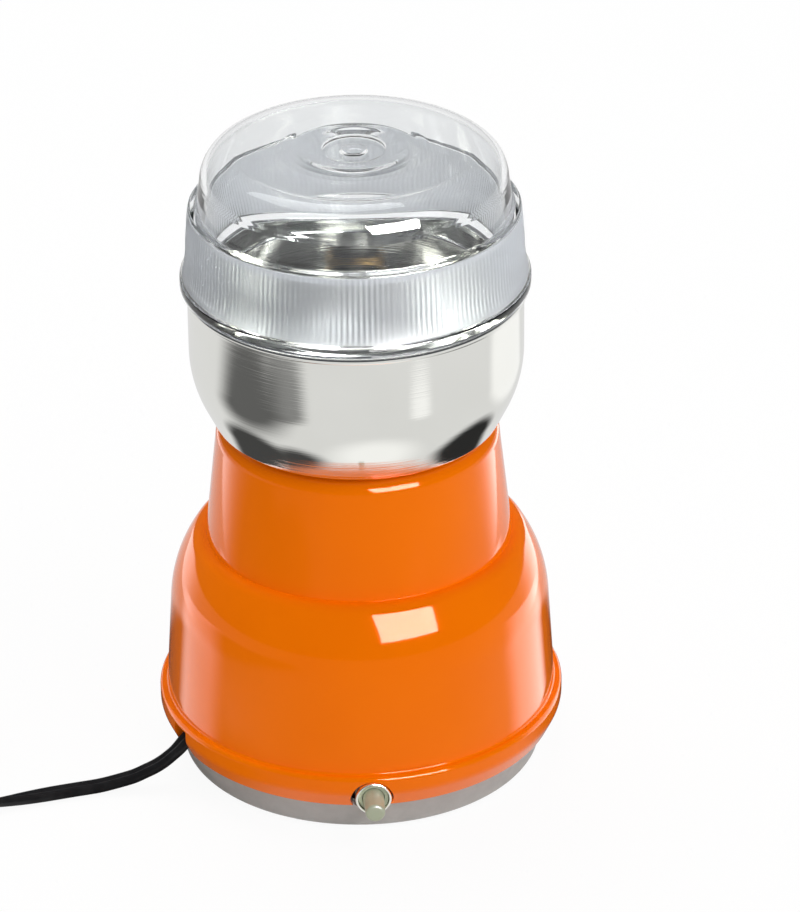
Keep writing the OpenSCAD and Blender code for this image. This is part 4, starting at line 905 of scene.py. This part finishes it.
# %% Button and collar
COLLAR_RADIUS = 4.65
COLLAR_FACE = 51.9
COLLAR_ROUND = 0.6
COLLAR_EDGE = 0.2
CAP_RADIUS = 2.7
CAP_GUIDE = 1
CAP_TIP = 2.5
CAP_ROUND = 0.9
CAP_FLANGE = 4.1
CAP_FLANGE_DEPTH = 1.4
BARREL = 3.95
BARREL_FRONT = 50.9
RING_FRONT = 51.2
RING_INSIDE = 2.85
RING_EDGE = 0.1

to_front = Matrix.Translation((0, 0, BUTTON_HEIGHT * MM)) @ Matrix.Rotation(math.pi / 2, 4, "X")


def front_piece(outline, name, body, slot, nodes=()):
    """A piece turned about the button's axis: its outline's height is the distance to the front."""
    shell = turned(outline, 64)
    bmesh.ops.transform(shell, matrix=to_front, verts=shell.verts)
    return piece(shell, name, body, slot, nodes)


cap_front = -low_mm("button_cap").y
cap_back = -high_mm("button_cap").y
cap_neck = cap_back + CAP_FLANGE_DEPTH
cap_outline = (
    [(0, cap_back), (CAP_FLANGE, cap_back), (CAP_FLANGE, cap_neck), (CAP_RADIUS, cap_neck),
     (CAP_RADIUS, COLLAR_FACE - CAP_GUIDE), (CAP_RADIUS, COLLAR_FACE)]
    + arc((CAP_TIP - CAP_ROUND, cap_front - CAP_ROUND), CAP_ROUND, 0, 90, 8) + [(0, cap_front)])
cap = front_piece(cap_outline, "button_plunger", "button", "button_plastic", ("button_cap",))
collar_outline = (
    [(BARREL, COLLAR_BACK), (COLLAR_RADIUS, COLLAR_BACK)]
    + arc((COLLAR_RADIUS - COLLAR_ROUND, COLLAR_FACE - COLLAR_ROUND), COLLAR_ROUND, 0, 90, 6)
    + arc((BARREL + COLLAR_EDGE, COLLAR_FACE - COLLAR_EDGE), COLLAR_EDGE, 90, 180, 3))
collar = front_piece(collar_outline, "collar_ring", "base", "collar_metal", ("button_collar",))
ring_outside = BARREL - RING_EDGE
ring_outline = [(RING_INSIDE, BARREL_FRONT), (ring_outside, BARREL_FRONT),
                (ring_outside, RING_FRONT - RING_EDGE), (ring_outside - RING_EDGE, RING_FRONT),
                (RING_INSIDE + RING_EDGE, RING_FRONT), (RING_INSIDE, RING_FRONT - RING_EDGE)]
barrel_ring = front_piece(ring_outline, "barrel_ring", "base", "button_plastic")
print("button stands out to", round(cap_front, 1), "mm")

# %% [markdown]
# ## Springs
# Three coil springs work inside: one pushes the button out, and one feeds each carbon brush. A spring
# gets shorter as its joint moves, which a rigid solid can't do, so each spring is a new piece of wire,
# made at its length at rest. The wire is pulled along a helix with the same helper as the lead.

# %% Springs
WIRE_SIDES = 10
STEPS_A_TURN = 24
BUTTON_WIRE, BUTTON_TURNS, BUTTON_PRESSED = 0.4, 4, 1.45
BRUSH_WIRE, BRUSH_TURNS, BRUSH_PRESSED = 0.6, 5, 3.15
along_y = Matrix.Rotation(-math.pi / 2, 4, "X")


def coil_spring(node, wire, turns):
    """A spring in a node's place, at its length at rest."""
    low, high = low_mm(node), high_mm(node)
    middle = (low + high) / 2
    length = high.y - low.y
    radius = (high.x - low.x - wire) / 2
    helix = []
    for i in range(turns * STEPS_A_TURN + 1):
        turn = 2 * math.pi * i / STEPS_A_TURN
        rise = (length - wire) * i / (turns * STEPS_A_TURN)
        helix.append(Vector((radius * math.cos(turn), radius * math.sin(turn), wire / 2 + rise)))
    shell = pulled(arc((0, 0), wire / 2, 0, 360, WIRE_SIDES)[:-1], helix, [0] * len(helix))
    place = Matrix.Translation(Vector((middle.x, low.y, middle.z)) * MM)
    bmesh.ops.transform(shell, matrix=place @ along_y, verts=shell.verts)
    spring = piece(shell, node + "_coil", "base", "steel", (node,), sharp_angle=SOFT_ANGLE)
    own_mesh(spring)
    return length


button_rest = coil_spring("button_spring", BUTTON_WIRE, BUTTON_TURNS)
for side, fixed_end in (("front", -1), ("back", 1)):
    brush_rest = coil_spring("brush_spring_" + side, BRUSH_WIRE, BRUSH_TURNS)
print("springs at rest:", round(button_rest, 2), "and", round(brush_rest, 2), "mm long")

# %% [markdown]
# ## Finishes
# Every finish is a Principled shader with a little life worked out by nodes: colour that drifts by a
# few percent, roughness that isn't the same everywhere, and a fine bump of the right size for the
# process. The patterns read Object coordinates, in metres, so their scale is real.

# %% Finish helpers


def maths(tree, operation, first, second):
    """A Math node on two sockets, or on a socket and a number."""
    node = tree.nodes.new("ShaderNodeMath")
    node.operation = operation
    for socket, value in zip(node.inputs, (first, second)):
        if isinstance(value, bpy.types.NodeSocket):
            tree.links.new(value, socket)
        else:
            socket.default_value = value
    return node.outputs["Value"]


class Finish:
    """One node material with the steps that the finishes below share."""

    def __init__(self, name, **sockets):
        self.material = bpy.data.materials.new(name)
        self.material.use_nodes = True
        self.tree = self.material.node_tree
        self.shader = self.tree.nodes["Principled BSDF"]
        self.place = self.node("ShaderNodeTexCoord").outputs["Object"]
        for socket, value in sockets.items():
            self.shader.inputs[socket.replace("_", " ")].default_value = value

    def node(self, kind, **inputs):
        made = self.tree.nodes.new(kind)
        for socket, value in inputs.items():
            made.inputs[socket.replace("_", " ")].default_value = value
        return made

    def link(self, start, end):
        self.tree.links.new(start, end)

    def noise(self, scale, detail=3.0, stretch=(1, 1, 1)):
        """Noise with features of about 1 / scale metres, stretched per axis."""
        mapping = self.node("ShaderNodeMapping", Scale=stretch)
        self.link(self.place, mapping.inputs["Vector"])
        noise = self.node("ShaderNodeTexNoise", Scale=scale, Detail=detail)
        self.link(mapping.outputs["Vector"], noise.inputs["Vector"])
        return noise.outputs["Fac"]

    def colours(self, factor, first, second, low=0.35, high=0.65):
        """Base colour that drifts between two colours."""
        ramp = self.node("ShaderNodeValToRGB")
        ramp.color_ramp.elements[0].position = low
        ramp.color_ramp.elements[1].position = high
        ramp.color_ramp.elements[0].color = (*first, 1)
        ramp.color_ramp.elements[1].color = (*second, 1)
        self.link(factor, ramp.inputs["Fac"])
        self.link(ramp.outputs["Color"], self.shader.inputs["Base Color"])

    def roughness(self, factor, low, high):
        """Roughness that varies between two values."""
        spread = self.node("ShaderNodeMapRange", To_Min=low, To_Max=high)
        self.link(factor, spread.inputs["Value"])
        self.link(spread.outputs["Result"], self.shader.inputs["Roughness"])

    def step(self, value, start, end):
        """A factor that goes from 0 to 1 while a value goes from start to end."""
        spread = self.node("ShaderNodeMapRange", From_Min=start, From_Max=end)
        self.link(value, spread.inputs["Value"])
        return spread.outputs["Result"]

    def times(self, first, second):
        return maths(self.tree, "MULTIPLY", first, second)

    def bump(self, factor, depth, strength=1.0):
        """Fine relief with a depth in metres."""
        bump = self.node("ShaderNodeBump", Strength=strength, Distance=depth)
        self.link(factor, bump.inputs["Height"])
        self.link(bump.outputs["Normal"], self.shader.inputs["Normal"])


print("finish helpers ready")

# %% [markdown]
# The plastics. A polished moulding has a hard clear gloss with the faintest waviness, so its bump is a
# few thousandths of a millimetre over features some millimetres wide. The plain mouldings are matt
# from the spark-eroded grain of their mould, which is fine noise.

# %% Plastics
ORANGE = (0.92, 0.182, 0.0003)
ORANGE_DEEP = (0.90, 0.174, 0.0003)
ORANGE_SHEEN = (1.0, 0.03, 0.0, 1)


def polished_orange():
    finish = Finish("polished_orange", IOR=1.5, Specular_Tint=ORANGE_SHEEN, Coat_Weight=0.13,
                    Coat_Roughness=0.05)
    finish.colours(finish.noise(40, 2), ORANGE_DEEP, ORANGE)
    finish.roughness(finish.noise(160, 3), 0.06, 0.10)
    finish.bump(finish.noise(120, 2), 0.00001)
    return finish.material


def grained_plastic(name, first, second, rough, grain=1500, depth=0.00002):
    finish = Finish(name, IOR=1.48)
    finish.colours(finish.noise(300, 4), first, second)
    finish.roughness(finish.noise(grain, 2), rough - 0.06, rough + 0.06)
    finish.bump(finish.noise(grain, 2), depth)
    return finish.material


orange_plastic = polished_orange()
grey_plastic = grained_plastic("grey_base", (0.375, 0.360, 0.341), (0.415, 0.400, 0.380), 0.45)
dark_plastic = grained_plastic("dark_moulding", (0.012, 0.012, 0.013), (0.02, 0.02, 0.022), 0.5)
brown_plastic = grained_plastic("brown_moulding", (0.09, 0.035, 0.014), (0.12, 0.05, 0.02), 0.45)
button_plastic = grained_plastic("button_moulding", (0.36, 0.40, 0.28), (0.40, 0.43, 0.31), 0.35)
wire_plastic = grained_plastic("wire_sheath", (0.30, 0.02, 0.01), (0.36, 0.03, 0.015), 0.4)
sheath = grained_plastic("lead_sheath", (0.008, 0.008, 0.009), (0.014, 0.014, 0.015), 0.36,
                         grain=900, depth=0.00003)
rubber = grained_plastic("rubber", (0.012, 0.012, 0.012), (0.022, 0.022, 0.022), 0.75,
                         grain=1200, depth=0.00004)
carbon = grained_plastic("carbon", (0.012, 0.012, 0.014), (0.03, 0.03, 0.033), 0.55,
                         grain=2500, depth=0.00003)
print("plastics ready")

# %% [markdown]
# The clear lid is smooth, and frosted where its ribs are. The height and the radius of a point, read
# from its Object coordinates, say where that is. Three fades are multiplied into one factor, which then
# drives the roughness, the colour and how much light goes through.

# %% Clear plastic
CLEAR_TINT = (0.975, 0.985, 0.99)
RIB_TINT = (0.57, 0.60, 0.64)
RIB_CLEAR = 0.62
FROST = 0.42
CLEAR_ROUGH = 0.01
# Where the frost fades in, in millimetres from the skirt's foot, its top and its wall
FROST_LOW, FROST_TOP, FROST_WALL = (0.1, 0.6), (-0.4, -1.0), (-0.9, -0.6)


def clear_moulding():
    """Clear plastic, frosted where the ribs of the skirt are."""
    finish = Finish("clear_moulding", IOR=1.49)
    axes = finish.node("ShaderNodeSeparateXYZ")
    finish.link(finish.place, axes.inputs["Vector"])
    level = finish.node("ShaderNodeVectorMath")
    level.operation = "MULTIPLY"
    level.inputs[1].default_value = (1, 1, 0)
    finish.link(finish.place, level.inputs[0])
    radius = finish.node("ShaderNodeVectorMath")
    radius.operation = "LENGTH"
    finish.link(level.outputs["Vector"], radius.inputs[0])

    def band(value, edge, ends):
        return finish.step(value, (edge + ends[0]) * MM, (edge + ends[1]) * MM)

    height = axes.outputs["Z"]
    frosted = finish.times(band(height, skirt_low, FROST_LOW), band(height, skirt_top, FROST_TOP))
    frosted = finish.times(frosted, band(radius.outputs["Value"], SKIRT_TOP, FROST_WALL))
    finish.roughness(frosted, CLEAR_ROUGH, FROST)
    milky = finish.node("ShaderNodeMapRange", To_Min=1.0, To_Max=RIB_CLEAR)
    finish.link(frosted, milky.inputs["Value"])
    finish.link(milky.outputs["Result"], finish.shader.inputs["Transmission Weight"])
    finish.colours(frosted, CLEAR_TINT, RIB_TINT, 0.0, 1.0)
    finish.bump(finish.noise(60, 2), 0.00001)
    return finish.material


clear_plastic = clear_moulding()
print("clear plastic is frosted over", round(skirt_top - skirt_low, 1), "mm of its height")

# %% [markdown]
# The metals. Spun steel keeps the marks of turning: fine level lines round the bowl. Noise that is
# squeezed in height and stretched along the other two axes gives such lines on an upright wall. Cut
# and rolled steel, bronze and copper are the same shader with other colours and grain.

# %% Metals


def spun_steel():
    finish = Finish("spun_steel", Metallic=1.0)
    lines = finish.noise(60, 4, (0.4, 0.4, 40))
    finish.colours(finish.noise(25, 3), (0.87, 0.87, 0.825), (0.91, 0.91, 0.87))
    finish.roughness(lines, 0.04, 0.10)
    finish.bump(lines, 0.000014)
    return finish.material


def worked_metal(name, first, second, rough, stretch=(1, 1, 1), scale=500, depth=0.00001):
    finish = Finish(name, Metallic=1.0)
    grain = finish.noise(scale, 3, stretch)
    finish.colours(grain, first, second)
    finish.roughness(grain, rough - 0.07, rough + 0.07)
    finish.bump(grain, depth)
    return finish.material


bowl_steel = spun_steel()
bright_steel = worked_metal("bright_steel", (0.60, 0.60, 0.61), (0.70, 0.70, 0.71), 0.26)
ground_steel = worked_metal("ground_steel", (0.58, 0.58, 0.59), (0.70, 0.70, 0.70), 0.28,
                            stretch=(1, 12, 1), scale=220)
collar_metal = worked_metal("collar_plate", (0.72, 0.71, 0.64), (0.80, 0.79, 0.72), 0.2)
pin_metal = worked_metal("pin_plate", (0.70, 0.69, 0.66), (0.78, 0.77, 0.74), 0.18)
bronze = worked_metal("sintered_bronze", (0.42, 0.25, 0.09), (0.55, 0.36, 0.14), 0.38, scale=1800)
copper = worked_metal("wound_copper", (0.42, 0.14, 0.05), (0.62, 0.24, 0.09), 0.36,
                      stretch=(1, 1, 14), scale=200, depth=0.00006)
lamination = worked_metal("sheet_stack", (0.16, 0.16, 0.17), (0.28, 0.28, 0.29), 0.42,
                          stretch=(0.2, 0.2, 30), scale=60, depth=0.00005)
cast_metal = worked_metal("cast_bracket", (0.50, 0.51, 0.52), (0.60, 0.61, 0.62), 0.5, scale=900,
                          depth=0.00004)
print("metals ready")

# %% [markdown]
# Each piece and each solid that still shows takes the finish of its material slot, so one table serves
# both. The blade and its nut are ground, the rest of the steel is bright.

# %% Hand out the finishes
SLOT_FINISH = {
    "orange_plastic": orange_plastic, "grey_plastic": grey_plastic, "bowl_steel": bowl_steel,
    "clear_plastic": clear_plastic, "button_plastic": button_plastic, "collar_metal": collar_metal,
    "black_rubber": rubber, "dark_plastic": dark_plastic, "brown_plastic": brown_plastic,
    "carbon": carbon, "steel": bright_steel, "lamination": lamination, "copper": copper,
    "bronze": bronze, "cast_aluminium": cast_metal, "wire_insulation": wire_plastic,
    "cord_sheath": sheath, "pin_metal": pin_metal}
NODE_FINISH = {"blade": ground_steel, "blade_nut": ground_steel}

node_slot = {part["node"]: part["material_slot"] for part in frame["record"]["subparts"]}
for name, obj in frame["nodes"].items():
    obj.data.materials.clear()
    obj.data.materials.append(NODE_FINISH.get(name, SLOT_FINISH[node_slot[name]]))
new_pieces = [o for o in bpy.data.objects if o.type == "MESH" and o.get("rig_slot")]
for obj in new_pieces:
    obj.data.materials.clear()
    obj.data.materials.append(SLOT_FINISH[obj["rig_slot"]])
print(len(new_pieces), "new pieces and", len(frame["nodes"]), "solids have a finish")

# %% [markdown]
# ## Floor
# The picture has a plain white ground. The floor is pale paper that mostly lights itself for the rays
# that the camera, glass and metal send, so it reads as white and still holds a soft shadow. The Light
# Path node says what kind of ray asks, and how often it was reflected or bent on its way, so one
# material can answer the camera and a reflection in different ways.

# %% Floor
FLOOR_SIZE = 8.0
# Depths count what a ray has met: below the first limit nothing, above the second two clear walls
MET_ONE, MET_TWO_WALLS = 0.5, 3.5

floor_shell = bmesh.new()
bmesh.ops.create_grid(floor_shell, x_segments=4, y_segments=4, size=FLOOR_SIZE / 2)
floor_mesh = bpy.data.meshes.new("floor")
floor_shell.to_mesh(floor_mesh)
floor_shell.free()
floor = bpy.data.objects.new("floor", floor_mesh)
bpy.context.scene.collection.objects.link(floor)


def seen_rays(tree, kinds):
    """A factor that is 1 for the named kinds of ray."""
    path = tree.nodes.new("ShaderNodeLightPath")
    factor = path.outputs[kinds[0]]
    for kind in kinds[1:]:
        factor = maths(tree, "MAXIMUM", factor, path.outputs[kind])
    return factor


def after_shine(tree):
    """A factor that is 1 for rays that were reflected, but not just inside a clear wall."""
    path = tree.nodes.new("ShaderNodeLightPath")
    bent, shone = path.outputs["Transmission Depth"], path.outputs["Glossy Depth"]
    outside = maths(tree, "LESS_THAN", bent, MET_ONE)
    through_lid = maths(tree, "GREATER_THAN", bent, MET_TWO_WALLS)
    reflected = maths(tree, "GREATER_THAN", shone, MET_ONE)
    return maths(tree, "MULTIPLY", reflected, maths(tree, "MAXIMUM", outside, through_lid))


print("floor is", FLOOR_SIZE, "m wide")

# %% [markdown]
# A reflection sees a dimmer floor than the camera does, with round spots painted on it: darker ones are
# painted shadows and lighter ones are painted pools of light, like the shadows and the lit cards round an
# object in a studio. Only reflections show these painted spots.
# They give the polished steel and the orange something to mirror besides plain white. Each spot is a
# distance from its centre, eased between two radii, and mixed with the spots before it.

# %% Spots on the floor
FLOOR_SHINE = 0.75
# Painted shadows (darker than FLOOR_SHINE) and painted pools of light (brighter), seen only in reflections
# Each spot: place, radius inside and outside in metres, brightness
PAINTED_SHADE_AND_LIGHT_SPOTS = [((0.015, -0.08, 0), 0.02, 0.07, 1.0), ((-0.20, -0.16, 0), 0.04, 0.09, 0.25),
               ((-0.225, -0.05, 0), 0.06, 0.14, 0.12), ((0.088, 0.02, 0), 0.034, 0.062, 0.025),
               ((-0.078, 0.02, 0), 0.036, 0.066, 0.06), ((-0.056, -0.034, 0), 0.012, 0.04, 0.06),
               ((0.24, 0.12, 0), 0.08, 0.12, 1.0), ((0.158, -0.206, 0), 0.015, 0.045, 1.0)]


def smooth_fade(tree, value, start, end):
    """A factor that eases from 0 to 1 while a value goes from start to end."""
    fade = tree.nodes.new("ShaderNodeMapRange")
    fade.interpolation_type = "SMOOTHSTEP"
    fade.inputs["From Min"].default_value = start
    fade.inputs["From Max"].default_value = end
    tree.links.new(value, fade.inputs["Value"])
    return fade.outputs["Result"]


def floor_with_painted_spots(tree):
    """Brightness of the floor in reflections: its own, changed by each painted spot of shade or light in
    turn.
    """
    place = tree.nodes.new("ShaderNodeTexCoord").outputs["Object"]
    brightness = None
    for centre, inside, outside, spot in PAINTED_SHADE_AND_LIGHT_SPOTS:
        reach = tree.nodes.new("ShaderNodeVectorMath")
        reach.operation = "DISTANCE"
        reach.inputs[1].default_value = centre
        tree.links.new(place, reach.inputs[0])
        spotted = tree.nodes.new("ShaderNodeMix")
        spotted.inputs["A"].default_value = spot
        spotted.inputs["B"].default_value = FLOOR_SHINE
        outwards = smooth_fade(tree, reach.outputs["Value"], inside, outside)
        tree.links.new(outwards, spotted.inputs["Factor"])
        if brightness:
            tree.links.new(brightness, spotted.inputs["B"])
        brightness = spotted.outputs["Result"]
    return brightness


print("reflections see", len(PAINTED_SHADE_AND_LIGHT_SPOTS), "spots on the floor")

# %% [markdown]
# The paper mixes two shaders: a matt one that takes shadows, and an emission. The camera sees mostly the
# emission and a little of the shadow, and a reflection sees the emission alone, at the strength that the
# painted spots of shade and light give it. All other light meets plain paper.

# %% Paper of the floor
FLOOR_GLOW = 0.93
PAPER = (0.86, 0.86, 0.86, 1)
PAPER_ROUGH = 0.8
PAPER_GLOSS = 0.1

paper = bpy.data.materials.new("floor_paper")
paper.use_nodes = True
tree = paper.node_tree
paper_shader = tree.nodes["Principled BSDF"]
paper_shader.inputs["Base Color"].default_value = PAPER
paper_shader.inputs["Roughness"].default_value = PAPER_ROUGH
paper_shader.inputs["Specular IOR Level"].default_value = PAPER_GLOSS
seen = seen_rays(tree, ("Is Camera Ray", "Is Glossy Ray", "Is Transmission Ray"))
mirrored = after_shine(tree)
own_light = maths(tree, "MAXIMUM", maths(tree, "MULTIPLY", seen, FLOOR_GLOW), mirrored)
strength = tree.nodes.new("ShaderNodeMix")
strength.inputs["A"].default_value = 1.0
tree.links.new(mirrored, strength.inputs["Factor"])
# In reflections the glow carries the painted shadows and painted pools of light of the spots
tree.links.new(floor_with_painted_spots(tree), strength.inputs["B"])
glow = tree.nodes.new("ShaderNodeEmission")
tree.links.new(strength.outputs["Result"], glow.inputs["Strength"])
mix = tree.nodes.new("ShaderNodeMixShader")
tree.links.new(own_light, mix.inputs["Fac"])
tree.links.new(paper_shader.outputs["BSDF"], mix.inputs[1])
tree.links.new(glow.outputs["Emission"], mix.inputs[2])
tree.links.new(mix.outputs["Shader"], tree.nodes["Material Output"].inputs["Surface"])
floor.data.materials.append(paper)
print("paper gives", FLOOR_GLOW, "of its own light")

# %% [markdown]
# ## Background
# The world answers in three ways: white for the camera and through clear walls, dark where a polished
# surface mirrors it, as in a studio where only some cards are lit, and an even soft light on everything
# matt, which shows the colours as they are. Three Background shaders hold the answers, and the same
# tests of the ray as in the floor choose between them.

# %% Background
WORLD_LIGHT = 0.67
WHITE = (1, 1, 1, 1)
STUDIO_DARK = (0.075, 0.079, 0.087, 1)

world = bpy.data.worlds.new("studio")
bpy.context.scene.world = world
world.use_nodes = True
tree = world.node_tree
white_ground = tree.nodes["Background"]
white_ground.inputs["Color"].default_value = WHITE


def background(colour, strength=1.0):
    """A Background shader of the world."""
    node = tree.nodes.new("ShaderNodeBackground")
    node.inputs["Color"].default_value = colour
    node.inputs["Strength"].default_value = strength
    return node.outputs["Background"]


def chosen(factor, first, second):
    """The first shader where the factor is 0, the second where it is 1."""
    node = tree.nodes.new("ShaderNodeMixShader")
    tree.links.new(factor, node.inputs["Fac"])
    tree.links.new(first, node.inputs[1])
    tree.links.new(second, node.inputs[2])
    return node.outputs["Shader"]


what_shows = chosen(after_shine(tree), white_ground.outputs["Background"], background(STUDIO_DARK))
world_light = chosen(seen_rays(tree, ("Is Diffuse Ray",)), what_shows, background(WHITE, WORLD_LIGHT))
tree.links.new(world_light, tree.nodes["World Output"].inputs["Surface"])
bpy.context.scene.view_settings.view_transform = "Standard"
print("even light is", WORLD_LIGHT)

# %% [markdown]
# ## Lamps
# One soft lamp to the front right makes the highlights on the shoulder and on the lid. Light linking
# keeps it off the bowl: a lamp lights only the pieces in its receiver collection. Two weak lamps shade
# the forms and aren't mirrored, and a fourth lights the right side of the lid alone.

# %% Lamps
AIM = Vector((0, 0, 0.08))


def area_lamp(name, width, height, power):
    """A rectangular lamp, not yet in its place."""
    data = bpy.data.lights.new(name, "AREA")
    data.shape = "RECTANGLE"
    data.size = width
    data.size_y = height
    data.energy = power
    lamp = bpy.data.objects.new(name, data)
    bpy.context.scene.collection.objects.link(lamp)
    return lamp


def soft_lamp(name, azimuth, elevation, distance, width, height, power):
    """A lamp on a ball round the object. Azimuth 0 is the front, 90 the right."""
    a, e = math.radians(azimuth), math.radians(elevation)
    way = Vector((math.sin(a) * math.cos(e), -math.cos(a) * math.cos(e), math.sin(e)))
    lamp = area_lamp(name, width, height, power)
    lamp.location = AIM + way * distance
    lamp.rotation_mode = "QUATERNION"
    lamp.rotation_quaternion = way.to_track_quat("Z", "Y")
    return lamp


def takers(name, *pieces):
    """A collection of the pieces that a lamp may light."""
    group = bpy.data.collections.new(name)
    for obj in pieces:
        group.objects.link(obj)
    return group


shine_box = soft_lamp("shine_box", azimuth=26.5, elevation=26.5, distance=1.2, width=0.75, height=0.62,
                      power=120)
shine_box.visible_diffuse = False
shine_box.light_linking.receiver_collection = takers("shine_takers", housing, lid, base, cap, collar,
                                                     barrel_ring)
key_box = soft_lamp("key_box", azimuth=45, elevation=40, distance=1.3, width=1.0, height=0.8, power=5)
key_box.visible_glossy = False
top_box = soft_lamp("top_box", azimuth=200, elevation=65, distance=1.4, width=1.0, height=0.8, power=8)
top_box.visible_glossy = False
side_box = soft_lamp("side_box", azimuth=82, elevation=20, distance=1.2, width=0.6, height=0.5, power=8)
side_box.visible_glossy = False
side_box.visible_transmission = False
side_box.light_linking.receiver_collection = takers("clear_lid", lid)

# %% [markdown]
# Two low cards on each side draw the pale bands along the edges of the neck and the body. They light
# only the housing, and only as a reflection. A lamp can have nodes of its own: here its strength fades
# towards the front and back ends of the card, so that its mirror image has no hard corners.

# %% Side cards
CARD_FADE = 0.3
HALF_WAY = 0.5
glossy_orange = takers("glossy_orange", housing)


def side_card(name, x, y_low, y_high, z_high, radiance):
    """A lit card with soft ends that stands beside the object and that only reflections show."""
    width = y_high - y_low
    card = area_lamp(name, width, z_high, radiance * math.pi * width * z_high)
    card.data.use_nodes = True
    tree = card.data.node_tree
    along = tree.nodes.new("ShaderNodeSeparateXYZ")
    tree.links.new(tree.nodes.new("ShaderNodeNewGeometry").outputs["Parametric"], along.inputs["Vector"])
    from_end = maths(tree, "PINGPONG", along.outputs["X"], HALF_WAY)
    tree.links.new(smooth_fade(tree, from_end, 0, CARD_FADE), tree.nodes["Emission"].inputs["Strength"])
    facing = Vector((-1 if x < 0 else 1, 0, 0))
    card.matrix_world = (Matrix.Translation((x, (y_low + y_high) / 2, z_high / 2))
                         @ facing.to_track_quat("Z", "Y").to_matrix().to_4x4())
    card.visible_camera = False
    card.visible_diffuse = False
    card.light_linking.receiver_collection = glossy_orange


side_card("neck_right", x=0.17, y_low=0.008, y_high=0.35, z_high=0.055, radiance=2.6)
side_card("neck_left", x=-0.17, y_low=0.026, y_high=0.35, z_high=0.055, radiance=1.5)
side_card("body_right", x=0.075, y_low=-0.037, y_high=0.019, z_high=0.045, radiance=3.0)
side_card("body_left", x=-0.075, y_low=-0.034, y_high=0.020, z_high=0.045, radiance=1.9)

# %% [markdown]
# ## The end

# %% The end
print("scene done")
